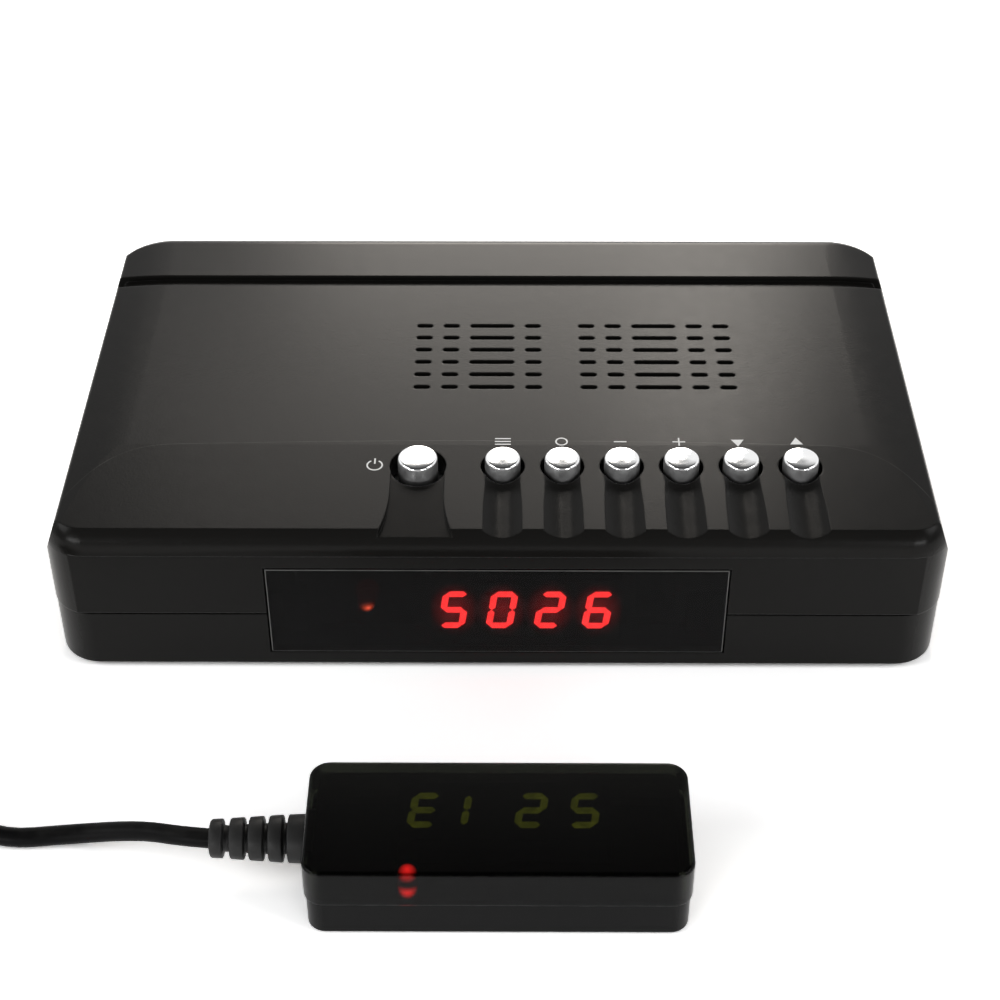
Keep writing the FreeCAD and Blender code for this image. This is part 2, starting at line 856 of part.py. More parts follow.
def screw(x, y, head_radius, head_height, radius, seat, tip, head_up):
    """Pan-head screw with a crossed recess: its seat is where the head bears."""
    outer = seat + head_height if head_up else seat - head_height
    head = upright(x, y, head_radius, min(seat, outer), max(seat, outer))
    head = head.makeFillet(head_height * screw_rim_share, edges_at(head, outer))
    shank = upright(x, y, radius, min(seat, tip), max(seat, tip))
    body = joined([head, shank])
    cross_depth = head_height * screw_cross_depth_share
    z0, z1 = (outer - cross_depth, outer + overcut) if head_up else (outer - overcut, outer + cross_depth)
    arm = head_radius * screw_cross_length_share
    blade = head_radius * screw_cross_width_share
    for width, depth in ((arm, blade), (blade, arm)):
        body = body.cut(centered_box(x, y, width, depth, z0, z1))
    return body


def case_screws():
    """Four screws that pull the covers together from below."""
    seat = underside + case_screw_sink
    return group([screw(x, y, case_screw_head_radius, case_screw_head_height, case_screw_radius, seat,
                        seat + case_screw_length, False) for x, y in case_boss_places()])


def board_screws():
    """Screws of the main board, from above, and of the key board, from below."""
    screws = []
    for x, y in board_post_places():
        screws.append(screw(x, y, screw_head_radius, screw_head_height, screw_radius, main_board_top,
                            main_board_bottom - screw_bite + screw_gap, True))
    for x in key_posts():
        screws.append(screw(x, button_y, screw_head_radius, screw_head_height, screw_radius, key_board_bottom,
                            key_board_top + screw_bite, False))
    return group(screws)


def feet():
    """Rubber feet in shallow pockets of the underside."""
    pads = []
    for x, y in foot_places():
        pad = upright(x, y, foot_radius, 0, underside + foot_pocket)
        pads.append(pad.makeFillet(foot_edge_radius, edges_at(pad, 0)))
    return group(pads)


def main_board():
    """Board that carries the tuner, the processor and the sockets."""
    half = half_width - main_board_margin
    board = box(-half, half, main_board_front_y, main_board_rear_y, main_board_bottom, main_board_top)
    for x, y in board_post_places():
        board = board.cut(upright(x, y, screw_radius + screw_gap, main_board_bottom - overcut,
                                  main_board_top + overcut))
    return board


def front_board():
    """Upright board that carries the display, the status light and the infrared receiver."""
    half = front_board_width / 2
    return box(-half, half, front_board_face, front_board_back, floor_top, floor_top + front_board_height)


def led_display():
    """Block of the four-digit display."""
    half = display_width / 2
    return box(display_shift - half, display_shift + half, display_face, front_board_face,
               display_z - display_height / 2, display_z + display_height / 2)


def segment_bar(length, width):
    """Six-sided bar of a seven-segment digit, lying along X, as plan points."""
    tip = width / 2
    end = length / 2
    return [(-end, 0), (-end + tip, tip), (end - tip, tip), (end, 0), (end - tip, -tip), (-end + tip, -tip)]


def digit_segments(height, width, thickness):
    """Plan points of segments a to g of one digit about its centre, upright ones turned."""
    gap = thickness * 0.12
    column = height / 2 - thickness / 2
    across = segment_bar(width - thickness - gap, thickness)
    along = [(y, x) for x, y in segment_bar(column - gap, thickness)]
    side = width / 2 - thickness / 2
    places = {
        "a": (across, 0, column), "b": (along, side, column / 2), "c": (along, side, -column / 2),
        "d": (across, 0, -column), "e": (along, -side, -column / 2), "f": (along, -side, column / 2),
        "g": (across, 0, 0),
    }
    shear = math.tan(math.radians(digit_slant))
    segments = {}
    for name, (points, cx, cy) in places.items():
        segments[name] = [(x + cx + (y + cy) * shear, y + cy) for x, y in points]
    return segments


glyphs = {
    "0": "abcdef", "1": "bc", "2": "abged", "3": "abgcd", "4": "fgbc", "5": "afgcd", "6": "afgedc",
    "7": "abc", "8": "abcdefg", "9": "abfgcd",
}
shown_digits = "5026"
eye_digits = "3125"


def front_digits(lit):
    """Light bars of the front display that are lit, or those that are dark."""
    bars = []
    for index, digit in enumerate(shown_digits):
        cx = display_shift + (index - 1.5) * digit_pitch
        for name, points in digit_segments(digit_height, digit_width, segment_width).items():
            if (name in glyphs[digit]) == lit:
                corners = [Vector(cx + x, display_face, display_z + y) for x, y in points]
                face = Part.Face(Part.makePolygon(corners + corners[:1]))
                bars.append(face.extrude(Vector(0, -segment_relief, 0)))
    return group(bars)


def status_led():
    """Status light on the front board, domed towards the window."""
    x = status_led_shift
    radius = status_led_radius
    dome_y = display_face + radius
    base_y = front_board_face - status_led_base
    body = rearward(x, display_z, radius, dome_y, base_y)
    dome = Part.makeSphere(radius, Vector(x, dome_y, display_z))
    base = rearward(x, display_z, radius + status_led_base_step, base_y, front_board_face)
    return joined([body, dome, base])


def infrared_receiver():
    """Receiver of the remote control, with a lens bulge towards the window."""
    half = receiver_width / 2
    z0 = display_z - receiver_height / 2
    face_y = front_board_face - receiver_depth
    block = box(receiver_shift - half, receiver_shift + half, face_y, front_board_face,
                z0, z0 + receiver_height)
    bulge = Part.makeSphere(receiver_bulge_radius, Vector(receiver_shift, face_y, display_z + receiver_bulge_rise))
    return joined([block, bulge])


def board_header():
    """Pin row that joins the front board to the main board."""
    half = header_width / 2
    x = display_shift
    return box(x - half, x + half, front_board_back, main_board_front_y + header_size,
               main_board_top, main_board_top + header_size)


def cable_sockets():
    """Flat-cable sockets on the main board and under the key board."""
    width = cable_width + 2 * cable_socket_margin
    slot = centered_box(cable_x, button_y, cable_width + 2 * fit_gap, cable_thickness + 2 * fit_gap,
                        main_board_top + cable_socket_floor, key_board_bottom - cable_socket_floor)
    lower = centered_box(cable_x, button_y, width, cable_socket_depth, main_board_top,
                         main_board_top + cable_socket_height)
    upper = centered_box(cable_x, button_y, width, cable_socket_depth,
                         key_board_bottom - cable_socket_height, key_board_bottom)
    return group([lower.cut(slot), upper.cut(slot)])


def flat_cable():
    """Flat cable between the two sockets."""
    return centered_box(cable_x, button_y, cable_width, cable_thickness,
                        main_board_top + cable_socket_floor, key_board_bottom - cable_socket_floor)


def tuner_can():
    """Shielding can of the tuner, open towards the board."""
    x0 = tuner_x - tuner_width / 2
    y1 = main_board_rear_y - antenna_hex_length
    y0 = y1 - tuner_depth
    z1 = main_board_top + tuner_height
    can = box(x0, x0 + tuner_width, y0, y1, main_board_top, z1)
    inner = box(x0 + tuner_wall, x0 + tuner_width - tuner_wall, y0 + tuner_wall, y1 - tuner_wall,
                main_board_top - overcut, z1 - tuner_wall)
    can = can.cut(inner)
    for x in (x0 + tuner_width / 4, x0 + tuner_width * 3 / 4):
        can = can.cut(upright(x, (y0 + y1) / 2, tuner_dimple_radius, z1 - tuner_wall / 2, z1 + overcut))
    return can


def antenna_connector():
    """Threaded coaxial socket on the tuner can, through the rear panel."""
    z = main_board_top + antenna_height
    y0 = main_board_rear_y - antenna_hex_length
    flat = antenna_hex / 2
    corner = flat / math.cos(math.radians(30))
    corners = []
    for index in range(6):
        angle = math.radians(60 * index + 30)
        corners.append(Vector(antenna_x + corner * math.cos(angle), y0, z + corner * math.sin(angle)))
    hexagon = Part.Face(Part.makePolygon(corners + corners[:1])).extrude(Vector(0, antenna_hex_length, 0))
    tip = rear + antenna_length
    shoulder = panel_rear_face + fit_gap
    neck = rearward(antenna_x, z, antenna_neck_radius, y0, shoulder)
    barrel = rearward(antenna_x, z, antenna_radius, shoulder, tip)
    rim = [e for e in barrel.Edges if e.BoundBox.YMin > tip - match]
    barrel = barrel.makeChamfer(antenna_chamfer, rim)
    shape = joined([hexagon, neck, barrel])
    return shape.cut(rearward(antenna_x, z, antenna_bore_radius, y0 + antenna_bore_floor, tip + overcut))


def socket_shell(x, width, height):
    """Folded metal shell of a plug-in socket, open to the rear."""
    y0 = jack_mouth - socket_depth
    shell = box(x - width / 2, x + width / 2, y0, jack_mouth, main_board_top, main_board_top + height)
    inner = box(x - width / 2 + socket_wall, x + width / 2 - socket_wall, y0 + socket_back, jack_mouth + overcut,
                main_board_top + socket_wall, main_board_top + height - socket_wall)
    return shell.cut(inner)


def socket_tongues():
    """Insulating tongues inside the two plug-in sockets."""
    tongues = []
    y0 = jack_mouth - socket_depth + socket_back
    y1 = jack_mouth - tongue_setback
    for x, width, rise, thickness in (
        (hdmi_x, hdmi_tongue_width, hdmi_tongue_rise, hdmi_tongue_thickness),
        (usb_x, usb_tongue_width, usb_tongue_rise, usb_tongue_thickness),
    ):
        z0 = main_board_top + rise
        tongues.append(box(x - width / 2, x + width / 2, y0, y1, z0, z0 + thickness))
    return group(tongues)


def audio_jack(x):
    """Round jack with a collar in the rear panel."""
    z = main_board_top + jack_height / 2
    block = box(x - jack_width / 2, x + jack_width / 2, jack_block_end - jack_depth, jack_block_end,
                main_board_top, main_board_top + jack_height)
    collar = rearward(x, z, jack_collar_radius, jack_block_end - rooting, jack_mouth)
    jack = joined([block, collar])
    return jack.cut(rearward(x, z, jack_bore_radius, jack_mouth - jack_bore_depth, jack_mouth + overcut))


def dc_jack():
    """Power socket."""
    z = main_board_top + dc_jack_height / 2
    end = jack_block_end
    block = box(dc_jack_x - dc_jack_width / 2, dc_jack_x + dc_jack_width / 2, end - dc_jack_depth, end,
                main_board_top, main_board_top + dc_jack_height)
    return block.cut(rearward(dc_jack_x, z, dc_bore_radius, end - dc_bore_depth, end + overcut))


def dc_jack_pin():
    """Centre pin of the power socket, rooted in its block."""
    z = main_board_top + dc_jack_height / 2
    return rearward(dc_jack_x, z, dc_pin_radius, jack_block_end - dc_bore_depth, jack_block_end - dc_pin_setback)


def processor():
    """Main processor package."""
    return centered_box(chip_x, chip_y, chip_size, chip_size, main_board_top, main_board_top + chip_height)


def heat_sink():
    """Finned heat sink on the processor."""
    base_z = main_board_top + chip_height
    fins_z = base_z + heat_sink_base
    shapes = [centered_box(chip_x, chip_y, heat_sink_size, heat_sink_size, base_z, fins_z)]
    pitch = (heat_sink_size - fin_thickness) / (fin_count - 1)
    for index in range(fin_count):
        x = chip_x - heat_sink_size / 2 + fin_thickness / 2 + index * pitch
        shapes.append(centered_box(x, chip_y, fin_thickness, heat_sink_size, fins_z - rooting,
                                   base_z + heat_sink_height))
    return joined(shapes)


def memory_chips():
    """Working memory and program memory beside the processor."""
    z1 = main_board_top + memory_height
    x = chip_x + chip_size / 2 + memory_depth
    return group([
        centered_box(x, chip_y, memory_depth, memory_width, main_board_top, z1),
        centered_box(chip_x, chip_y - chip_size / 2 - memory_depth, memory_width, memory_depth, main_board_top, z1),
    ])


def capacitors():
    """Electrolytic capacitors in a row beside the power socket."""
    cans = []
    y = capacitor_row_y
    for radius, height in capacitor_sizes:
        y += radius
        can = upright(capacitor_x, y, radius, main_board_top, main_board_top + height)
        cans.append(can.makeFillet(capacitor_edge_radius, edges_at(can, main_board_top + height)))
        y += radius + capacitor_gap
    return group(cans)


def inductors():
    """Power inductors near the capacitors."""
    x = capacitor_x - max(radius for radius, height in capacitor_sizes) - inductor_size
    blocks = []
    for y in (capacitor_row_y + inductor_size, capacitor_row_y + 3 * inductor_size):
        block = centered_box(x, y, inductor_size, inductor_size, main_board_top, main_board_top + inductor_height)
        upright_edges = [e for e in block.Edges if abs(e.BoundBox.ZLength - inductor_height) < match]
        blocks.append(block.makeChamfer(inductor_chamfer, upright_edges))
    return group(blocks)


def eye_slab(inset, z0, z1):
    """Rounded plan block of the eye, drawn in from its outside."""
    half = eye_width / 2 - inset
    block = slab(half, -eye_depth / 2 + inset, eye_depth / 2 - inset, eye_corner_radius - inset,
                 eye_corner_radius - inset, z0, z1)
    block.translate(Vector(eye_center_x, eye_center_y, 0))
    return block


def relief_hole():
    """Hole for the neck of the strain relief, through both halves of the eye."""
    return sideways(relief_y, relief_z, relief_core_radius + fit_gap, eye_left - overcut,
                    eye_left + eye_wall + overcut)


def eye_cover():
    """Upper half of the eye, smoked so that light passes."""
    shell = eye_slab(0, eye_split, eye_height)
    shell = shell.makeFillet(eye_edge_radius, edges_at(shell, eye_height))
    shell = shell.cut(eye_slab(eye_wall, eye_split - overcut, eye_height - eye_wall))
    return shell.cut(relief_hole())


def eye_base():
    """Lower half of the eye, with ledges that carry its board."""
    tray = eye_slab(eye_base_inset, 0, eye_split)
    tray = tray.makeFillet(eye_edge_radius, edges_at(tray, 0))
    tray = tray.cut(eye_slab(eye_wall, eye_wall, eye_split + overcut))
    ledge = eye_slab(eye_wall - rooting, eye_wall - rooting, eye_board_rise)
    ledge = ledge.cut(eye_slab(eye_wall + eye_ledge, 0, eye_board_rise + overcut))
    return joined([tray, ledge]).cut(relief_hole())


def eye_board():
    """Board of the eye, on the ledges of its lower half, notched for the collar of the strain relief."""
    board = eye_slab(eye_wall + fit_gap, eye_board_rise, eye_board_top)
    notch_half = relief_core_radius + relief_collar_step + running_gap
    notch_end = eye_left + eye_wall + relief_collar_width + running_gap
    return board.cut(box(eye_left, notch_end, relief_y - notch_half, relief_y + notch_half,
                         eye_board_rise - overcut, eye_board_top + overcut))


def eye_display():
    """Small display block of the eye, facing up."""
    return centered_box(eye_center_x + eye_display_shift, eye_display_y, eye_display_width, eye_display_depth,
                        eye_board_top, eye_board_top + eye_display_height)


def eye_segments():
    """Lit bars of the eye's display, upside down as seen from the front."""
    z = eye_board_top + eye_display_height
    bars = []
    for index, digit in enumerate(eye_digits):
        cx = eye_center_x + eye_display_shift + (index - 1.5) * digit_pitch
        segments = digit_segments(eye_digit_height, digit_width, segment_width)
        for name in glyphs[digit]:
            corners = [Vector(cx - x, eye_display_y - y, z) for x, y in segments[name]]
            face = Part.Face(Part.makePolygon(corners + corners[:1]))
            bars.append(face.extrude(Vector(0, 0, segment_relief)))
    return group(bars)


def eye_led():
    """Light of the eye, standing on its board."""
    z0 = eye_board_top
    body = upright(eye_led_x, eye_led_y, eye_led_radius, z0, z0 + eye_led_height - eye_led_radius)
    dome = Part.makeSphere(eye_led_radius, Vector(eye_led_x, eye_led_y, z0 + eye_led_height - eye_led_radius))
    return joined([body, dome])


def eye_receiver():
    """Infrared receiver of the eye, on its board beside the light."""
    z1 = eye_board_top + eye_receiver_height
    block = centered_box(eye_receiver_x, eye_led_y, receiver_width, 2 * eye_led_radius, eye_board_top, z1)
    bulge = Part.makeSphere(eye_receiver_bulge_radius, Vector(eye_receiver_x, eye_led_y, z1))
    return joined([block, bulge])


def strain_relief():
    """Ribbed sleeve on the lead where it enters the eye, with a collar inside the wall."""
    x0 = eye_left - relief_length
    root = eye_left + eye_wall
    core = sideways(relief_y, relief_z, relief_core_radius, x0, root)
    collar = sideways(relief_y, relief_z, relief_core_radius + relief_collar_step, root, root + relief_collar_width)
    sleeve_length = relief_length - fit_gap
    sleeve = Part.makeCone(relief_end_radius, relief_radius, sleeve_length, Vector(x0, relief_y, relief_z),
                           Vector(1, 0, 0))
    half = relief_radius + overcut
    pitch = (sleeve_length - relief_rib_width) / (relief_ribs - 1)
    for index in range(relief_ribs - 1):
        start = x0 + relief_rib_width + index * pitch
        end = x0 + (index + 1) * pitch
        low, high = (-half, relief_bridge) if index % 2 == 0 else (-relief_bridge, half)
        sleeve = sleeve.cut(box(start, end, relief_y - half, relief_y + half, relief_z + low, relief_z + high))
    return joined([core, sleeve, collar])


# Route of the lead from the strain relief to the coil, laid on the standing surface
lead_route = [
    Vector(eye_left - relief_length, relief_y, relief_z),
    Vector(eye_left - relief_length - 4.0, relief_y, relief_z),
    Vector(-54.0, -82.9, 4.0),
    Vector(-64.0, -80.0, cord_radius),
    Vector(-75.0, -83.4, cord_radius),
    Vector(-84.5, -75.5, cord_radius),
    Vector(-89.5, -64.5, cord_radius),
    Vector(-99.0, -60.0, cord_radius),
    Vector(coil_center.x, coil_center.y + coil_outer_turn, cord_radius),
]

# Route of the lead from the coil to the neck of the plug, which lies beside the coil
coil_exit = coil_center + Vector(-coil_outer_turn * math.sqrt(0.5), coil_outer_turn * math.sqrt(0.5), cord_radius)
plug_route = [
    coil_exit,
    Vector(-132.8, -74.4, cord_radius),
    Vector(-138.6, -81.4, 2.2),
    Vector(-139.5, -88.2, plug_radius),
    Vector(-139.5, -94.0, plug_radius),
]


def corner_arcs(points):
    """Radius and tangent length at each inner point of a route."""
    bends = []
    for before, at, after in zip(points, points[1:], points[2:]):
        arriving = at - before
        leaving = after - at
        turn = arriving.getAngle(leaving)
        tangent = 0.45 * min(arriving.Length, leaving.Length)
        bends.append((tangent / math.tan(turn / 2), tangent, turn))
    return bends


def round_path(points):
    """Wire of straight runs joined by tangent arcs."""
    edges = []
    start = points[0]
    for at, after, (radius, tangent, turn) in zip(points[1:], points[2:], corner_arcs(points)):
        arriving = (at - start).normalize()
        leaving = (after - at).normalize()
        arc_start = at - arriving * tangent
        arc_end = at + leaving * tangent
        inward = (leaving - arriving).normalize()
        middle = at + inward * (radius / math.cos(turn / 2) - radius)
        edges.append(Part.LineSegment(start, arc_start).toShape())
        edges.append(Part.Arc(arc_start, middle, arc_end).toShape())
        start = arc_end
    edges.append(Part.LineSegment(start, points[-1]).toShape())
    return Part.Wire(edges)


def tube(points):
    """Cord along a route."""
    path = round_path(points)
    direction = points[1] - points[0]
    section = Part.Wire(Part.makeCircle(cord_radius, points[0], direction))
    solid = path.makePipeShell([section], True, False)
    print("cord run", round(path.Length, 1), "mm, volume over section x length",
          round(solid.Volume / (math.pi * cord_radius ** 2 * path.Length), 4),
          "radii", [round(radius, 1) for radius, tangent, turn in corner_arcs(points)])
    return solid


def coil_ring():
    """Outer shape of the coiled lead, before the tie presses into it."""
    ring = upright(coil_center.x, coil_center.y, coil_outer_radius, 0, coil_height)
    ring = ring.cut(upright(coil_center.x, coil_center.y, coil_inner_radius, -overcut, coil_height + overcut))
    return ring.makeFillet(coil_edge_radius, edges_at(ring, 0) + edges_at(ring, coil_height))


def tie_band(slack):
    """Square band round one side of the coil, grown all over by a slack."""
    near = coil_center.y - coil_inner_radius + tie_gap
    away = coil_center.y - coil_outer_radius - tie_gap
    x0 = coil_center.x - tie_width / 2
    x1 = coil_center.x + tie_width / 2
    over = coil_height + tie_gap
    inner = box(x0 - overcut, x1 + overcut, away + slack, near - slack, tie_thickness + slack, over - slack)
    outer = box(x0 - slack, x1 + slack, away - tie_thickness - slack, near + tie_thickness + slack,
                -slack, over + tie_thickness + slack)
    return outer.cut(inner)


def eye_cord():
    """Lead of the eye outside its coil: to the coil, and from it to the plug."""
    return group([tube(route).cut(coil_ring()) for route in (lead_route, plug_route)])


def eye_cord_coil():
    """Outer shape of the coiled lead, with the dent of its tie."""
    return coil_ring().cut(tie_band(tie_gap / 2))


def eye_plug():
    """Moulded grip of the stereo plug, with its tapered neck towards the lead."""
    start = plug_route[-1]
    neck = Part.makeCone(plug_neck_radius, plug_neck_end_radius, plug_neck_length, start, Vector(0, -1, 0))
    grip_start = start - Vector(0, plug_neck_length, 0)
    grip = Part.makeCylinder(plug_radius, plug_length, grip_start, Vector(0, -1, 0))
    rims = [e for e in grip.Edges if e.BoundBox.YLength < match]
    return joined([neck, grip.makeFillet(plug_edge_radius, rims)])


def plug_pin():
    """Contact pin of the plug, with a rounded tip."""
    start = plug_route[-1] - Vector(0, plug_neck_length + plug_length, 0)
    end_y = start.y - plug_pin_length
    pin = Part.makeCylinder(plug_pin_radius, plug_pin_length, start, Vector(0, -1, 0))
    tip = [e for e in pin.Edges if e.BoundBox.YMax < end_y + match]
    return pin.makeFillet(plug_tip_radius, tip)


def save(name, shape):
    """Writes one node."""
    shape.exportStep("parts/" + name + ".step")
    print(name, len(shape.Solids), "solids", round(shape.Volume, 2), "mm3", shape.isValid())


os.makedirs("parts", exist_ok=True)
for node in (top_cover, bottom_cover, rear_panel, display_lens, key_switches, key_board, case_screws,
             board_screws, feet, main_board, front_board, led_display, status_led, infrared_receiver,
             board_header, cable_sockets, flat_cable, tuner_can, antenna_connector, socket_tongues,
             dc_jack, dc_jack_pin, processor, heat_sink, memory_chips, capacitors, inductors,
             eye_cover, eye_base, eye_board, eye_display, eye_segments, eye_led, eye_receiver,
             strain_relief, eye_cord, eye_cord_coil, eye_plug, plug_pin):
    save(node.__name__, node())
for name, x, cap_radius, hole_radius in buttons():
    save(name + "_button", button(x, cap_radius, hole_radius))
    save(name + "_plunger", plunger(x))
save("lit_segments", front_digits(True))
save("dark_segments", front_digits(False))
save("hdmi_socket", socket_shell(hdmi_x, hdmi_width, hdmi_height))
save("usb_socket", socket_shell(usb_x, usb_width, usb_height))
save("av_jack", audio_jack(av_jack_x))
save("infrared_jack", audio_jack(infrared_jack_x))
save("cord_tie", tie_band(0))
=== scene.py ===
import json
import math

import bpy
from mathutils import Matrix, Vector

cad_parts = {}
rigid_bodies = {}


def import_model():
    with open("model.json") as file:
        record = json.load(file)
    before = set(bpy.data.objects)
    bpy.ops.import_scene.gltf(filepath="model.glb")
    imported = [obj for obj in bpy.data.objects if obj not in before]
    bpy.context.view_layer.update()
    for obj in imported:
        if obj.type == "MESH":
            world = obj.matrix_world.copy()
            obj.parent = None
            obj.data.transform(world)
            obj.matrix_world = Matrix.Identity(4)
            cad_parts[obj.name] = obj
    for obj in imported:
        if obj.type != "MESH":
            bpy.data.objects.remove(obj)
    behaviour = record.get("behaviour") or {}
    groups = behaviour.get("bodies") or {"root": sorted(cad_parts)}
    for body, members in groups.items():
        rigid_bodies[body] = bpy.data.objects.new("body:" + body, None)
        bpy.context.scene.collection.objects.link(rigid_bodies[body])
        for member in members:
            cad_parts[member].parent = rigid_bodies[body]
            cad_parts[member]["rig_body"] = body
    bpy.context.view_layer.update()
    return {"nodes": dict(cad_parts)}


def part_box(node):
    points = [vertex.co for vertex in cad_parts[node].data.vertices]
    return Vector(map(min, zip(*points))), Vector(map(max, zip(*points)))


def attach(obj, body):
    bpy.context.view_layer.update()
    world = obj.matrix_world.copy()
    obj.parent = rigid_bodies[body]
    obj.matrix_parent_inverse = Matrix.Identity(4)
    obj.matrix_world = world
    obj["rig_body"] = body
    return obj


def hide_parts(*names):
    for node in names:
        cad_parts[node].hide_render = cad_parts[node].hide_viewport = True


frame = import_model()
nodes = frame["nodes"]
print("frame loaded")

# Camera
cameraView = {
    "place": (0.00182568, -0.28220246, 0.23315700),
    "turn": (50.4284, 0.0499, 0.2783),  # degrees
    "lens": 72.3201,
    "sensorWidth": 36,
    "clipStart": 0.01,
}
bpy.ops.object.camera_add(location=cameraView["place"],
                          rotation=[math.radians(angle) for angle in cameraView["turn"]])
camera = bpy.context.object
camera.name = "camera"
camera.data.lens = cameraView["lens"]
camera.data.sensor_width = cameraView["sensorWidth"]
camera.data.clip_start = cameraView["clipStart"]
bpy.context.scene.camera = camera
bpy.context.scene.view_settings.view_transform = "Standard"

# Lead of the eye: free run, coil in two layers, run to the plug
lead = {
    "radius": 0.0015,
    "run": [(-0.0419, -0.0864, 0.00665), (-0.0459, -0.0861, 0.0067), (-0.0528, -0.0832, 0.0048),
            (-0.0635, -0.0811, 0.0015), (-0.0752, -0.0825, 0.0015), (-0.0845, -0.0755, 0.0015),
            (-0.0895, -0.0645, 0.0015), (-0.099, -0.06, 0.0015), (-0.11, -0.0615, 0.0015)],
    "coilCentre": (-0.11, -0.0845),
    "outerTurn": 0.023,
    "innerTurn": 0.011,
    "startAngle": 90,
    "turns": 10.125,
    "climbTurn": 5,  # where the cord climbs to the upper layer
    "upperTurn": 5.2,  # where it starts to step outwards
    "stepShare": 0.25,  # part of a turn that a step or the climb takes
    "pointsPerTurn": 16,
    "toPlug": [(-0.1328, -0.0744, 0.0043), (-0.1386, -0.0814, 0.0026), (-0.1395, -0.0882, 0.0036),
               (-0.1395, -0.094, 0.0036)],
    "length": 1.2,
    "smoothness": 5,
}


def coilPoint(turn):
    # lower layer winds inwards, upper layer outwards
    pitch, share = 2 * lead["radius"], lead["stepShare"]
    if turn < lead["climbTurn"]:
        whole = math.floor(turn)
        step = max(0, (turn - whole - (1 - share)) / share)
        radius = lead["outerTurn"] - pitch * (whole + step)
        height = lead["radius"]
    else:
        shifted = turn - lead["upperTurn"]
        whole = math.floor(shifted)
        step = min(1, (shifted - whole) / share)
        radius = lead["innerTurn"] - pitch
        if shifted > 0:
            radius += pitch * (whole + step)
        height = lead["radius"] + pitch * min(1, (turn - lead["climbTurn"]) / share)
    radius /= math.cos(math.pi / lead["pointsPerTurn"])  # the spline cuts inside its points
    angle = math.radians(lead["startAngle"] + 360 * turn)
    x, y = lead["coilCentre"]
    return (x + radius * math.cos(angle), y + radius * math.sin(angle), height)


def makeLead():
    points = list(lead["run"])
    count = round(lead["turns"] * lead["pointsPerTurn"])
    points += [coilPoint(index / lead["pointsPerTurn"]) for index in range(1, count + 1)]
    points += lead["toPlug"]
    curve = bpy.data.curves.new("eyeLead", "CURVE")
    curve.dimensions = "3D"
    spline = curve.splines.new("NURBS")
    spline.points.add(len(points) - 1)
    for point, place in zip(spline.points, points):
        point.co = (*place, 1)
        point.radius = lead["radius"]
    spline.order_u = 3
    spline.use_endpoint_u = True
    curve.resolution_u = lead["smoothness"]
    curve.bevel_depth = 1  # times each point's radius
    curve.bevel_resolution = lead["smoothness"]
    curve.use_fill_caps = True
    cord = bpy.data.objects.new("eyeLead", curve)
    bpy.context.scene.collection.objects.link(cord)
    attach(cord, "housing")
    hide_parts("eye_cord", "eye_cord_coil")
    return cord


eyeLead = makeLead()
print("camera and lead made")


# Small steps that the shader groups and materials share
def feed(tree, socket, value):
    if isinstance(value, bpy.types.NodeSocket):
        tree.links.new(value, socket)
    elif value is not None:
        socket.default_value = value


def addMath(tree, operation, first, second=None, clamp=False):
    node = tree.nodes.new("ShaderNodeMath")
    node.operation = operation
    node.use_clamp = clamp
    feed(tree, node.inputs[0], first)
    feed(tree, node.inputs[1], second)
    return node.outputs[0]


def addProduct(tree, value, *others):
    for other in others:
        value = addMath(tree, "MULTIPLY", value, other)
    return value


def addVector(tree, operation, first, second=None):
    node = tree.nodes.new("ShaderNodeVectorMath")
    node.operation = operation
    feed(tree, node.inputs[0], first)
    feed(tree, node.inputs["Scale" if operation == "SCALE" else 1], second)
    return node.outputs["Value" if operation in ("LENGTH", "DOT_PRODUCT") else "Vector"]


def addPlace(tree):
    return tree.nodes.new("ShaderNodeTexCoord").outputs["Object"]


def addSplit(tree, vector):
    node = tree.nodes.new("ShaderNodeSeparateXYZ")
    tree.links.new(vector, node.inputs[0])
    return node.outputs


def addNoise(tree, scale, detail, roughness):
    noise = tree.nodes.new("ShaderNodeTexNoise")
    tree.links.new(addPlace(tree), noise.inputs["Vector"])
    feed(tree, noise.inputs["Scale"], scale)
    noise.inputs["Detail"].default_value = detail
    noise.inputs["Roughness"].default_value = roughness
    return noise.outputs[0]


def addRange(tree, value, low, high, toLow=0, toHigh=1):
    node = tree.nodes.new("ShaderNodeMapRange")
    tree.links.new(value, node.inputs["Value"])
    for socket, number in zip(list(node.inputs)[1:5], (low, high, toLow, toHigh)):
        socket.default_value = number
    return node.outputs[0]


def addMix(tree, factor, first, second):
    node = tree.nodes.new("ShaderNodeMix")
    node.data_type = "RGBA"
    for index, value in zip((0, 6, 7), (factor, first, second)):  # factor and the two colours
        feed(tree, node.inputs[index], value)
    return node.outputs[2]


def startGroup(name, inputs, outputs):
    group = bpy.data.node_groups.new(name, "ShaderNodeTree")
    for socketName, kind, value in inputs:
        socket = group.interface.new_socket(socketName, in_out="INPUT", socket_type="NodeSocket" + kind)
        socket.default_value = value
    for socketName, kind in outputs:
        group.interface.new_socket(socketName, in_out="OUTPUT", socket_type="NodeSocket" + kind)
    return group, group.nodes.new("NodeGroupInput").outputs, group.nodes.new("NodeGroupOutput").inputs


noiseMiddle = 0.5  # what a noise gives on average

# Fine grain of moulded surfaces; noises are given as detail and roughness
grainLook = {"fine": (2, 0.6), "coarse": (3, 0.5), "coarseScale": 0.13, "coarseShare": 0.6, "spread": 0.3}


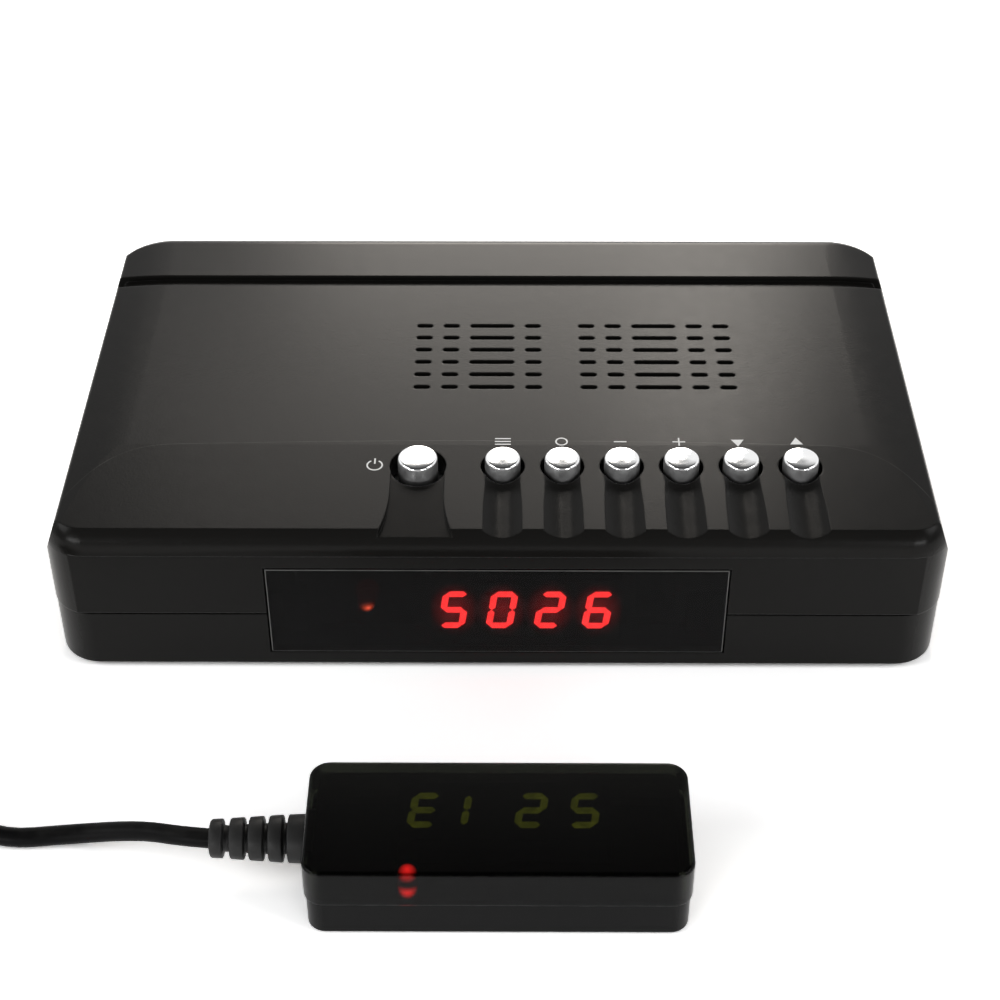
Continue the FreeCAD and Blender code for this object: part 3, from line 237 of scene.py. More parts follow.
def makeGrainGroup():
    group, given, result = startGroup(
        "moulded grain", [("Size", "Float", 0.0003), ("Depth", "Float", 0.00001)],
        [("Height", "Float"), ("Spread", "Float")])
    scale = addMath(group, "DIVIDE", 1.0, given["Size"])
    fine = addNoise(group, scale, *grainLook["fine"])
    coarse = addNoise(group, addProduct(group, scale, grainLook["coarseScale"]), *grainLook["coarse"])
    both = addMath(group, "ADD", fine, addProduct(group, coarse, grainLook["coarseShare"]))
    feed(group, result["Height"], addProduct(group, both, given["Depth"]))
    feed(group, result["Spread"], addMath(group, "SUBTRACT", coarse, noiseMiddle))
    return group


# Slow drift of a colour's lightness
toneLook = {"noise": (4, 0.6), "swing": 2.0}


def makeToneGroup():
    group, given, result = startGroup(
        "tone drift",
        [("Colour", "Color", (0.5, 0.5, 0.5, 1)), ("Size", "Float", 0.02), ("Amount", "Float", 0.1)],
        [("Colour", "Color")])
    wide = addNoise(group, addMath(group, "DIVIDE", 1.0, given["Size"]), *toneLook["noise"])
    swing = addMath(group, "SUBTRACT", wide, noiseMiddle)
    level = addMath(group, "ADD", addProduct(group, swing, given["Amount"], toneLook["swing"]), 1.0)
    feed(group, result["Colour"], addVector(group, "SCALE", given["Colour"], level))
    return group


# Lighter colour along edges, broken into patches: partly rubbed wear, partly a painted edge highlight
edgeWearAndHighlightLook = {
    "samples": 6,
    "corner": (0.99, 0.8),  # cosine of the turn where wear starts and where it is full
    "patchNoise": (900, 3, 0.7),  # scale, detail, roughness
    "patches": (0.35, 0.6, 0.25, 1),
}


def makeEdgeWearAndHighlightGroup():
    group, given, result = startGroup(
        "edge wear and painted highlight", [("Width", "Float", 0.0002), ("Amount", "Float", 0.3)],
        [("Mask", "Float"), ("Normal", "Vector")])
    rounded = group.nodes.new("ShaderNodeBevel")
    rounded.samples = edgeWearAndHighlightLook["samples"]
    feed(group, rounded.inputs["Radius"], given["Width"])
    surface = group.nodes.new("ShaderNodeNewGeometry")
    turn = addVector(group, "DOT_PRODUCT", rounded.outputs[0], surface.outputs["Normal"])
    edge = addRange(group, turn, *edgeWearAndHighlightLook["corner"])
    broken = addRange(group, addNoise(group, *edgeWearAndHighlightLook["patchNoise"]), *edgeWearAndHighlightLook["patches"])
    feed(group, result["Mask"], addProduct(group, edge, broken, given["Amount"]))
    feed(group, result["Normal"], rounded.outputs[0])
    return group


# Dust on faces that look up: rare specks over a thin film
dustLook = {
    "speckEdge": (0.09, 0.03),
    "rareness": (0.93, 0.97),
    "filmNoise": (60, 5, 0.7),  # scale, detail, roughness
    "film": (0.45, 0.8, 0, 0.12),
    "facingUp": (0.5, 0.95),
    "colour": (0.42, 0.41, 0.38),
    "dull": 0.4,  # roughness that full dust adds
}


def makeDustGroup():
    group, given, result = startGroup(
        "settled dust", [("Amount", "Float", 0.3), ("Speck Size", "Float", 0.0012)], [("Mask", "Float")])
    cells = group.nodes.new("ShaderNodeTexVoronoi")
    feed(group, cells.inputs["Vector"], addPlace(group))
    feed(group, cells.inputs["Scale"], addMath(group, "DIVIDE", 1.0, given["Speck Size"]))
    speck = addRange(group, cells.outputs["Distance"], *dustLook["speckEdge"])
    chosen = group.nodes.new("ShaderNodeSeparateColor")
    feed(group, chosen.inputs[0], cells.outputs["Color"])
    rare = addRange(group, chosen.outputs[0], *dustLook["rareness"])
    film = addRange(group, addNoise(group, *dustLook["filmNoise"]), *dustLook["film"])
    surface = group.nodes.new("ShaderNodeNewGeometry")
    upward = addRange(group, addSplit(group, surface.outputs["Normal"])["Z"], *dustLook["facingUp"])
    total = addMath(group, "ADD", addProduct(group, speck, rare), film, True)
    feed(group, result["Mask"], addProduct(group, total, upward, given["Amount"]))
    return group


# Painted highlight: a faint lighter line across the top along a change of its slope, bowed forward at both
# sides
creaseHighlightLook = {
    "perMetre": 1000,  # the group's own lengths are in millimetres
    "bow": 0.00038,
    "turnFrom": 52.0,
    "turn": 0.0024,
    "turnPower": 3.0,
    "softness": (1, 0.3),
    "patchNoise": (120, 3, 0.6),  # scale, detail, roughness
    "patches": (0.4, 0.65, 0.25, 1),
    "height": (0.0275, 0.028),  # metres above the floor where the line fades in
}


def makeCreaseHighlightGroup():
    group, given, result = startGroup(
        "painted crease highlight", [("Start", "Float", -20.15), ("Width", "Float", 0.12)], [("Mask", "Float")])
    place = addSplit(group, addPlace(group))
    across = addMath(group, "ABSOLUTE", addProduct(group, place["X"], creaseHighlightLook["perMetre"]))
    outside = addMath(group, "MAXIMUM", addMath(group, "SUBTRACT", across, creaseHighlightLook["turnFrom"]), 0.0)
    turned = addProduct(group, addMath(group, "POWER", outside, creaseHighlightLook["turnPower"]), creaseHighlightLook["turn"])
    line = addMath(group, "ADD", turned, addProduct(group, across, across, creaseHighlightLook["bow"]))
    along = addProduct(group, place["Y"], creaseHighlightLook["perMetre"])
    away = addMath(group, "SUBTRACT", addMath(group, "ADD", along, line), given["Start"])
    gap = addMath(group, "DIVIDE", addMath(group, "ABSOLUTE", away), given["Width"])
    thin = addRange(group, gap, *creaseHighlightLook["softness"])
    broken = addRange(group, addNoise(group, *creaseHighlightLook["patchNoise"]), *creaseHighlightLook["patches"])
    high = addRange(group, place["Z"], *creaseHighlightLook["height"])
    feed(group, result["Mask"], addProduct(group, thin, broken, high))
    return group


# Round spot of light with a soft edge
def makeSpotGroup():
    group, given, result = startGroup(
        "lit spot", [("Centre", "Vector", (0, 0, 0)), ("Radius", "Float", 0.0008),
                     ("Squeeze", "Vector", (1, 1, 1)), ("Falloff", "Float", 2)],
        [("Mask", "Float")])
    reach = addVector(group, "SUBTRACT", addPlace(group), given["Centre"])
    length = addVector(group, "LENGTH", addVector(group, "MULTIPLY", reach, given["Squeeze"]))
    share = addMath(group, "DIVIDE", length, given["Radius"])
    feed(group, result["Mask"], addMath(group, "POWER", addRange(group, share, 1, 0), given["Falloff"]))
    return group


grainGroup, toneGroup, edgeWearAndHighlightGroup = makeGrainGroup(), makeToneGroup(), makeEdgeWearAndHighlightGroup()
dustGroup, creaseHighlightGroup, spotGroup = makeDustGroup(), makeCreaseHighlightGroup(), makeSpotGroup()


def placeGroup(tree, group, **values):
    node = tree.nodes.new("ShaderNodeGroup")
    node.node_tree = group
    for name, value in values.items():
        feed(tree, node.inputs[name], value)
    return node


# Finishes: colours are linear, lengths in metres, the start and width of the painted crease highlight in
# millimetres.
# grain is size and depth, tone is size and amount, edge is width, amount and the lighter edge colour, which
# is partly rubbed wear and partly a painted highlight.
finishes = {
    "housingBlack": {
        "colour": (0.0068, 0.0065, 0.006), "roughness": 0.23, "specular": 0.08, "dust": 0.012,
        "grain": (0.00035, 0.000012), "tone": (0.03, 0.1), "edge": (0.0003, 0.25, (0.05, 0.05, 0.048)),
        # lighter line painted across the top, a painted highlight along the crease
        "spread": 0.08, "creaseHighlight": (-20.15, 0.12, (0.05, 0.05, 0.047))},
    "eyeBlack": {
        "colour": (0.0055, 0.0055, 0.0055), "roughness": 0.2, "specular": 0.06, "dust": 0.4,
        "grain": (0.0006, 0.000004), "tone": (0.02, 0.1), "edge": (0.00025, 0.2, (0.06, 0.06, 0.06))},
    "buttonChrome": {
        "colour": (0.88, 0.885, 0.885), "roughness": 0.1, "metallic": 1, "dust": 0.05,
        "grain": (0.0004, 0.000002), "tone": (0.004, 0.03), "edge": (0.0001, 0.2, (0.95, 0.95, 0.95))},
    "buttonSatin": {
        "colour": (0.64, 0.64, 0.64), "roughness": 0.4, "metallic": 1, "dust": 0.05,
        "grain": (0.0003, 0.000006), "tone": (0.003, 0.08), "edge": (0.0001, 0.2, (0.95, 0.95, 0.95))},
    "switchBlack": {
        "colour": (0.02, 0.02, 0.022), "roughness": 0.5, "dust": 0.2,
        "grain": (0.0004, 0.00001), "tone": (0.01, 0.1), "edge": (0.0001, 0.2, (0.08, 0.08, 0.08))},
    "boardGreen": {
        "colour": (0.012, 0.075, 0.03), "roughness": 0.38, "dust": 0.15,
        "grain": (0.0012, 0.00002), "tone": (0.006, 0.25), "edge": (0.0001, 0.3, (0.3, 0.28, 0.16))},
    "rearPlate": {
        "colour": (0.028, 0.028, 0.029), "roughness": 0.5, "dust": 0.2,
        "grain": (0.0003, 0.000012), "tone": (0.02, 0.12), "edge": (0.0002, 0.3, (0.1, 0.1, 0.1))},
    "platedSteel": {
        "colour": (0.6, 0.6, 0.58), "roughness": 0.3, "metallic": 1, "dust": 0.1,
        "grain": (0.0005, 0.000006), "tone": (0.005, 0.12), "edge": (0.0001, 0.3, (0.75, 0.75, 0.73))},
    "platedContact": {
        "colour": (0.72, 0.7, 0.62), "roughness": 0.24, "metallic": 1, "dust": 0.05,
        "grain": (0.0004, 0.000004), "tone": (0.004, 0.1), "edge": (0.0001, 0.3, (0.85, 0.84, 0.78))},
    "screwSteel": {
        "colour": (0.42, 0.42, 0.43), "roughness": 0.32, "metallic": 1, "dust": 0.05,
        "grain": (0.0003, 0.000006), "tone": (0.003, 0.15), "edge": (0.0001, 0.4, (0.6, 0.6, 0.6))},
    "jackBlack": {
        "colour": (0.018, 0.018, 0.019), "roughness": 0.42, "dust": 0.1,
        "grain": (0.0003, 0.00001), "tone": (0.01, 0.1), "edge": (0.00015, 0.3, (0.08, 0.08, 0.08))},
    "chipBlack": {
        "colour": (0.022, 0.022, 0.024), "roughness": 0.55, "dust": 0.1,
        "grain": (0.0002, 0.00001), "tone": (0.008, 0.1), "edge": (0.0001, 0.2, (0.08, 0.08, 0.08))},
    "sinkAluminium": {
        "colour": (0.62, 0.63, 0.64), "roughness": 0.4, "metallic": 1, "dust": 0.1,
        "grain": (0.0003, 0.00001), "tone": (0.006, 0.1), "edge": (0.0001, 0.3, (0.8, 0.8, 0.8))},
    "capacitorSleeve": {
        "colour": (0.03, 0.04, 0.09), "roughness": 0.3, "dust": 0.1,
        "grain": (0.0008, 0.000006), "tone": (0.006, 0.15), "edge": (0.0001, 0.2, (0.2, 0.2, 0.24))},
    "ribbonWhite": {
        "colour": (0.62, 0.62, 0.58), "roughness": 0.5, "dust": 0.1,
        "grain": (0.0008, 0.00001), "tone": (0.006, 0.08), "edge": (0.0001, 0.1, (0.7, 0.7, 0.7))},
    "connectorWhite": {
        "colour": (0.6, 0.58, 0.5), "roughness": 0.45, "dust": 0.1,
        "grain": (0.0004, 0.00001), "tone": (0.006, 0.08), "edge": (0.0001, 0.1, (0.7, 0.7, 0.66))},
    "footRubber": {
        "colour": (0.016, 0.016, 0.016), "roughness": 0.78, "dust": 0.2,
        "grain": (0.0003, 0.00002), "tone": (0.006, 0.2), "edge": (0.0002, 0.4, (0.07, 0.07, 0.07))},
    "reliefRubber": {
        "colour": (0.013, 0.013, 0.013), "roughness": 0.5, "specular": 0.2, "dust": 0.25,
        "grain": (0.0003, 0.000014), "tone": (0.006, 0.15), "edge": (0.00015, 0.3, (0.07, 0.07, 0.07))},
    "cordVinyl": {
        "colour": (0.003, 0.003, 0.0032), "roughness": 0.42, "specular": 0.05, "dust": 0.3,
        "grain": (0.0006, 0.000016), "tone": (0.01, 0.15), "edge": (0.0001, 0.0, (0.07, 0.07, 0.07))},
    "tieVinyl": {
        "colour": (0.02, 0.02, 0.02), "roughness": 0.5, "dust": 0.2,
        "grain": (0.0005, 0.00001), "tone": (0.006, 0.15), "edge": (0.0001, 0.2, (0.07, 0.07, 0.07))},
    "displayBlack": {
        "colour": (0.008, 0.008, 0.008), "roughness": 0.6, "dust": 0.0,
        "grain": (0.0004, 0.000006), "tone": (0.01, 0.1), "edge": (0.0001, 0.1, (0.03, 0.03, 0.03))},
    "markInk": {
        "colour": (0.72, 0.73, 0.73), "roughness": 0.5, "dust": 0.1,
        "grain": (0.0003, 0.000004), "tone": (0.002, 0.12), "edge": (0.00003, 0.0, (0.5, 0.5, 0.5))},
    # painted highlight colour for the window's rim faces
    "windowEdgeHighlight": {
        "colour": (0.075, 0.075, 0.072), "roughness": 0.4, "dust": 0.1,
        "grain": (0.0004, 0.000006), "tone": (0.003, 0.6), "edge": (0.00005, 0.2, (0.1, 0.1, 0.1))},
    "receiverDark": {
        "colour": (0.02, 0.008, 0.02), "roughness": 0.15, "dust": 0.0,
        "grain": (0.0006, 0.000002), "tone": (0.004, 0.1), "edge": (0.0001, 0.1, (0.08, 0.05, 0.08))},
    "windowSmoke": {
        "colour": (0.03, 0.022, 0.022), "roughness": 0.12, "transmission": 1, "ior": 1.17, "dust": 0.3,
        "grain": (0.003, 0.000004), "tone": (0.02, 0.06), "edge": (0.0002, 0, (0, 0, 0)),
        "spread": 0.03, "dustColour": (0.3, 0.3, 0.28), "dustDull": 0},
    "eyeSmoke": {
        "colour": (0.012, 0.014, 0.009), "roughness": 0.14, "transmission": 1, "ior": 1.18, "dust": 0.3,
        "grain": (0.003, 0.000004), "tone": (0.02, 0.06), "edge": (0.0002, 0, (0, 0, 0)),
        "spread": 0.03, "dustColour": (0.3, 0.3, 0.28), "dustDull": 0},
}
plainSockets = {"metallic": "Metallic", "specular": "Specular IOR Level",
                "transmission": "Transmission Weight", "ior": "IOR"}


def startMaterial(name):
    material = bpy.data.materials.new(name)
    material.use_nodes = True
    tree = material.node_tree
    return material, tree, tree.nodes["Principled BSDF"]


def makeFinish(name, values):
    material, tree, shader = startMaterial(name)
    for key, socketName in plainSockets.items():
        feed(tree, shader.inputs[socketName], values.get(key))
    (grainSize, grainDepth), (toneSize, toneAmount) = values["grain"], values["tone"]
    edgeWidth, edgeAmount, edgeWearAndHighlightColour = values["edge"]
    tone = placeGroup(tree, toneGroup, Colour=(*values["colour"], 1), Size=toneSize, Amount=toneAmount)
    grain = placeGroup(tree, grainGroup, Size=grainSize, Depth=grainDepth)
    edge = placeGroup(tree, edgeWearAndHighlightGroup, Width=edgeWidth, Amount=edgeAmount)
    dust = placeGroup(tree, dustGroup, Amount=values["dust"])
    # edges get a lighter colour: partly wear, partly a painted edge highlight
    wornAndHighlitColour = addMix(tree, edge.outputs["Mask"], tone.outputs["Colour"], (*edgeWearAndHighlightColour, 1))
    # painted highlight line along the crease of the top
    if "creaseHighlight" in values:
        start, width, colour = values["creaseHighlight"]
        creaseHighlight = placeGroup(tree, creaseHighlightGroup, Start=start, Width=width)
        wornAndHighlitColour = addMix(tree, creaseHighlight.outputs["Mask"], wornAndHighlitColour, (*colour, 1))
    dustColour = values.get("dustColour", dustLook["colour"])
    feed(tree, shader.inputs["Base Color"], addMix(tree, dust.outputs["Mask"], wornAndHighlitColour, (*dustColour, 1)))
    spread = addProduct(tree, grain.outputs["Spread"], values.get("spread", grainLook["spread"]))
    rough = addMath(tree, "ADD", spread, values["roughness"])
    dull = addProduct(tree, dust.outputs["Mask"], values.get("dustDull", dustLook["dull"]))
    feed(tree, shader.inputs["Roughness"], addMath(tree, "ADD", rough, dull, True))
    bump = tree.nodes.new("ShaderNodeBump")
    bump.inputs["Distance"].default_value = 1
    feed(tree, bump.inputs["Height"], grain.outputs["Height"])
    feed(tree, bump.inputs["Normal"], edge.outputs["Normal"])
    feed(tree, shader.inputs["Normal"], bump.outputs[0])
    return material


materials = {name: makeFinish(name, values) for name, values in finishes.items()}

# Lights of the displays: bars and lights glow, and the block behind the digits has a painted glow around
# them, the digits' spill of light painted as emission
lamps = {
    "segmentRed": {"colour": (1.0, 0.045, 0.045), "body": (0.3, 0.01, 0.01), "strength": 40, "drift": 0.5},
    "segmentGreen": {"colour": (0.5, 0.48, 0.04), "body": (0.04, 0.04, 0.01), "strength": 3.2, "drift": 0.9},
    "ledRed": {
        "colour": (1.0, 0.015, 0.02), "body": (0.02, 0.004, 0.004), "strength": 60, "rest": (0.002, 0, 0),
        "spots": [(-0.0125, -0.0955, 0.0104), (-0.0125, -0.0967, 0.0074)],
        "radius": 0.0019, "falloff": 1.6, "squeeze": (1, 1, 1.3)},
    "ledClear": {
        "colour": (1.0, 0.14, 0.06), "body": (0.01, 0.004, 0.004), "strength": 36, "rest": (0.003, 0, 0),
        "spots": [(-0.0210, -0.0404, 0.0109)],
        "radius": 0.002, "falloff": 4.5, "squeeze": (0.8, 1, 1.2)},
    # painted glow: spots of emission on the unlit block and segments around each digit
    "displayPaintedGlow": {
        "colour": (1.0, 0.04, 0.05), "body": (0.008, 0.008, 0.008), "strength": 4.2, "rest": (0, 0, 0),
        "spots": [(x, -0.0404, 0.0107) for x in (-0.007, 0.0008, 0.0086, 0.0164)],
        "radius": 0.0044, "falloff": 1.4, "squeeze": (1, 0.5, 0.75)},
}
lampBody = {"roughness": 0.4, "bodyDrift": (0.003, 0.1), "glowSize": 0.0015, "glowDrift": 0.12}


def makeLamp(name, values):
    material, tree, shader = startMaterial(name)
    shader.inputs["Roughness"].default_value = lampBody["roughness"]
    shader.inputs["Emission Strength"].default_value = values["strength"]
    bodySize, bodyAmount = lampBody["bodyDrift"]
    body = placeGroup(tree, toneGroup, Colour=(*values["body"], 1), Size=bodySize, Amount=bodyAmount)
    glow = placeGroup(tree, toneGroup, Colour=(*values["colour"], 1), Size=lampBody["glowSize"],
                      Amount=values.get("drift", lampBody["glowDrift"]))
    feed(tree, shader.inputs["Base Color"], body.outputs["Colour"])
    shine = glow.outputs["Colour"]
    if "spots" in values:
        lit = (*values["rest"], 1)
        for centre in values["spots"]:
            spot = placeGroup(tree, spotGroup, Centre=centre, Radius=values["radius"],
                              Squeeze=values["squeeze"], Falloff=values["falloff"])
            lit = addMix(tree, spot.outputs["Mask"], lit, shine)
        shine = lit
    feed(tree, shader.inputs["Emission Color"], shine)
    return material


materials.update({name: makeLamp(name, values) for name, values in lamps.items()})
print("materials made")

# Which finish each CAD node wears
keys = ["power", "menu", "ok", "volume_down", "volume_up", "channel_down", "channel_up"]
wears = {
    "housingBlack": ["top_cover", "bottom_cover"],
    "windowSmoke": ["display_lens"],
    "eyeSmoke": ["eye_cover"],
    "eyeBlack": ["eye_base"],
    "buttonChrome": [key + "_button" for key in keys],
    "switchBlack": ["key_switches"] + [key + "_plunger" for key in keys],
    "boardGreen": ["main_board", "front_board", "key_board", "eye_board"],
    "rearPlate": ["rear_panel"],
    "platedSteel": ["tuner_can", "hdmi_socket", "usb_socket"],
    "platedContact": ["antenna_connector", "dc_jack_pin", "plug_pin"],
    "screwSteel": ["case_screws", "board_screws"],
    "jackBlack": ["board_header", "socket_tongues", "dc_jack", "av_jack", "infrared_jack"],
    "chipBlack": ["processor", "memory_chips", "inductors"],
    "sinkAluminium": ["heat_sink"],
    "capacitorSleeve": ["capacitors"],
    "ribbonWhite": ["flat_cable"],
    "connectorWhite": ["cable_sockets"],
    "footRubber": ["feet"],
    "reliefRubber": ["strain_relief", "eye_plug"],
    "tieVinyl": ["cord_tie"],
    "cordVinyl": ["eye_cord", "eye_cord_coil"],
    "displayPaintedGlow": ["led_display", "dark_segments"],
    "displayBlack": ["eye_display"],
    "receiverDark": ["infrared_receiver", "eye_receiver"],
    "segmentRed": ["lit_segments"],
    "segmentGreen": ["eye_segments"],
    "ledRed": ["eye_led"],
    "ledClear": ["status_led"],
}
for finish, names in wears.items():
    for name in names:
        for slot in nodes[name].material_slots:
            slot.link = "OBJECT"
            slot.material = materials[finish]
eyeLead.data.materials.append(materials["cordVinyl"])

# Dressed copies of the visible shells, with clean faces and even shading; angles in degrees
dressing = {
    "mergeDistance": 0.000002,
    "flatAngle": 0.3,
    "bevels": {"display_lens": 0.00013},
    "bevelAngle": 38,
    "windowRimHighlight": (0.3, 0.95),  # how far forward the faces of the window's polished rim look; these get a lighter colour, a painted edge highlight
    "slots": {
        "bottom_cover": "housing_black", "display_lens": "window_smoke", "eye_cover": "eye_smoke",
        "eye_base": "eye_black", "rear_panel": "rear_plate", "feet": "foot_rubber",
        "case_screws": "screw_steel", "antenna_connector": "plated_contact", "hdmi_socket": "plated_steel",
        "usb_socket": "plated_steel", "av_jack": "jack_black", "infrared_jack": "jack_black",
        "dc_jack": "jack_black", "dc_jack_pin": "plated_contact",
    },
}
smoothAngle = math.radians(35)


def only(piece):
    if bpy.context.mode != "OBJECT":
        bpy.ops.object.mode_set(mode="OBJECT")
    bpy.ops.object.select_all(action="DESELECT")
    piece.select_set(True)
    bpy.context.view_layer.objects.active = piece


def roundEdges(piece, width, angle):
    rounding = piece.modifiers.new("rounding", "BEVEL")
    rounding.width = width
    rounding.segments = 2
    rounding.limit_method = "ANGLE"
    rounding.angle_limit = math.radians(angle)
    bpy.ops.object.modifier_apply(modifier="rounding")


def dressCopy(nodeName):
    source = nodes[nodeName]
    first, *others = nodeName.split("_")
    pieceName = first + "".join(word.capitalize() for word in others) + "Dressed"
    piece = bpy.data.objects.new(pieceName, source.data.copy())
    bpy.context.scene.collection.objects.link(piece)
    only(piece)
    bpy.ops.object.mode_set(mode="EDIT")
    bpy.ops.mesh.select_all(action="SELECT")
    bpy.ops.mesh.remove_doubles(threshold=dressing["mergeDistance"])
    bpy.ops.mesh.dissolve_limited(angle_limit=math.radians(dressing["flatAngle"]))
    bpy.ops.object.mode_set(mode="OBJECT")
    bpy.ops.mesh.customdata_custom_splitnormals_clear()
    if nodeName in dressing["bevels"]:
        roundEdges(piece, dressing["bevels"][nodeName], dressing["bevelAngle"])
    bpy.ops.object.shade_smooth_by_angle(angle=smoothAngle)
    weighted = piece.modifiers.new("weighted", "WEIGHTED_NORMAL")
    weighted.keep_sharp = True
    bpy.ops.object.modifier_apply(modifier="weighted")
    piece.data.materials.clear()
    piece.data.materials.append(source.material_slots[0].material)
    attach(piece, source["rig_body"])
    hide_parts(nodeName)
    return piece


dressed = {nodeName: dressCopy(nodeName) for nodeName, slotName in dressing["slots"].items()}
# the window's rim faces get a lighter colour that paints the highlight along its edges
window = dressed["display_lens"].data
window.materials.append(materials["windowEdgeHighlight"])
for face in window.polygons:
    if dressing["windowRimHighlight"][0] < -face.normal.y < dressing["windowRimHighlight"][1]:
        face.material_index = 1
print("covers dressed")

# Chrome caps of the keys, each with the flange that holds it under the cover
caps = {
    "vertices": 64,
    "seat": 0.02495,
    "rim": 0.0005,
    "rimSegments": 5,
    "dome": 0.00006,
    "domeSteps": (0.22, 0.22, 0.2),
    "powerRadius": 0.00325,
    "smallRadius": 0.0029,
}


def facesUp(face):
    return face.normal.z > 0.9


def facesDown(face):
    return face.normal.z < -0.9


def facesAside(face):
    return abs(face.normal.z) < 0.2


def selectFaces(piece, test):
    only(piece)
    bpy.ops.object.mode_set(mode="EDIT")
    bpy.ops.mesh.select_mode(type="FACE")
    bpy.ops.mesh.select_all(action="DESELECT")
    bpy.ops.object.mode_set(mode="OBJECT")
    for face in piece.data.polygons:
        face.select = test(face)
    bpy.ops.object.mode_set(mode="EDIT")


def extrudeBy(x, y, z):
    bpy.ops.mesh.extrude_region_move(TRANSFORM_OT_translate={"value": (x, y, z)})


def finishPiece(piece, name, body, replaced=()):
    bpy.ops.object.mode_set(mode="OBJECT")
    only(piece)
    bpy.ops.object.transform_apply(location=True, rotation=True, scale=True)
    bpy.ops.object.shade_smooth_by_angle(angle=smoothAngle)
    piece.name = name
    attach(piece, body)
    if replaced:
        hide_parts(*replaced)


def shapeCap(key, radius):
    low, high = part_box(key + "_button")
    middle, seat = (low + high) / 2, caps["seat"]
    bpy.ops.object.select_all(action="DESELECT")
    bpy.ops.mesh.primitive_cylinder_add(vertices=caps["vertices"], radius=radius, depth=high.z - seat,
                                        location=(middle.x, middle.y, (high.z + seat) / 2))
    cap = bpy.context.object
    bpy.ops.object.transform_apply(location=True)
    selectFaces(cap, facesUp)
    bpy.ops.mesh.region_to_loop()
    bpy.ops.mesh.bevel(offset=caps["rim"], segments=caps["rimSegments"], affect="EDGES")
    # flat inside the rim
    selectFaces(cap, lambda face: facesUp(face) and len(face.vertices) == caps["vertices"])
    for share in caps["domeSteps"]:
        bpy.ops.mesh.inset(thickness=radius * share, depth=caps["dome"] * (1 - share))
    selectFaces(cap, facesDown)
    extrudeBy(0, 0, 0)
    spread = (high.x - low.x) / 2 / radius
    bpy.ops.transform.resize(value=(spread, spread, 1), center_override=(middle.x, middle.y, seat))
    extrudeBy(0, 0, low.z - seat)
    bpy.ops.object.mode_set(mode="OBJECT")
    cap.data.materials.append(materials["buttonChrome"])
    cap.data.materials.append(materials["buttonSatin"])
    for face in cap.data.polygons:
        face.material_index = 1 if facesAside(face) or face.center.z < seat else 0
    return cap


def copyCap(cap, fromKey, key):
    (fromLow, fromHigh), (low, high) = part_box(fromKey + "_button"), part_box(key + "_button")
    another = cap.copy()
    another.data = cap.data.copy()
    bpy.context.scene.collection.objects.link(another)
    another.location = (low + high) / 2 - (fromLow + fromHigh) / 2
    return another


made = {"power": shapeCap("power", caps["powerRadius"]), "menu": shapeCap("menu", caps["smallRadius"])}
for key in keys[2:]:
    made[key] = copyCap(made["menu"], "menu", key)
for key, cap in made.items():
    finishPiece(cap, key.replace("_", "") + "Cap", key + "_key", [key + "_button"])
print("caps made")

# Ribbed strain relief of the lead, turned about its axis: share of length, share of radius
relief = {
    "vertices": 48,
    "profile": [(0, 0.7), (0.02, 0.76), (0.113, 0.78), (0.12, 0.52), (0.172, 0.52), (0.18, 0.8), (0.3, 0.84),
                (0.307, 0.56), (0.34, 0.56), (0.347, 0.85), (0.47, 0.89), (0.478, 0.6), (0.512, 0.6),
                (0.52, 0.9), (0.64, 0.94), (0.648, 0.62), (0.68, 0.62), (0.688, 0.95), (1, 1)],
    "rounding": 0.0002,
    "roundingAngle": 40,
}


def turnRelief():
    low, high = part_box("strain_relief")
    middle, full, length = (low + high) / 2, (high.z - low.z) / 2, high.x - low.x
    profile = relief["profile"]
    bpy.ops.object.select_all(action="DESELECT")
    bpy.ops.mesh.primitive_circle_add(vertices=relief["vertices"], radius=full * profile[0][1],
                                      fill_type="NGON", location=(low.x, middle.y, middle.z),
                                      rotation=(0, math.pi / 2, 0))
    ribbed = bpy.context.object
    bpy.ops.object.transform_apply(location=True, rotation=True)
    bpy.ops.object.mode_set(mode="EDIT")
    bpy.ops.mesh.select_all(action="SELECT")
    for (share, radius), (nextShare, nextRadius) in zip(profile, profile[1:]):
        extrudeBy((nextShare - share) * length, 0, 0)
        spread = nextRadius / radius
        bpy.ops.transform.resize(value=(1, spread, spread),
                                 center_override=(low.x + nextShare * length, middle.y, middle.z))
    bpy.ops.mesh.select_all(action="SELECT")
    bpy.ops.mesh.normals_make_consistent(inside=False)
    bpy.ops.object.mode_set(mode="OBJECT")
    roundEdges(ribbed, relief["rounding"], relief["roundingAngle"])
    ribbed.data.materials.append(materials["reliefRubber"])
    finishPiece(ribbed, "strainReliefRibbed", "housing", ["strain_relief"])


turnRelief()
print("relief turned")

# Printed marks beside the keys; shares are of a mark's own size
marks = {
    "inkLift": 0.00002,
    "inkThickness": 0.00002,
    "startHeight": 0.04,  # above the cover, from where the marks fall onto it
    "stroke": 0.00026,
    "rowY": -0.0204,
    "size": 0.0021,
    "powerPlace": (-0.0200, -0.0266),
    "powerSize": 0.0027,
    "powerGap": 0.2,
    "powerBar": (0.38, 0.5),  # place and length
    "menuBars": (-0.36, 0, 0.36),
    "menuWidth": 1.25,
    "triangleSize": 1.15,
    "ringVertices": 48,
}


def makeBar(x, y, width, depth):
    bpy.ops.object.select_all(action="DESELECT")
    bpy.ops.mesh.primitive_plane_add(size=1, location=(x, y, marks["startHeight"]))
    bar = bpy.context.object
    bar.scale = (width, depth, 1)
    return bar


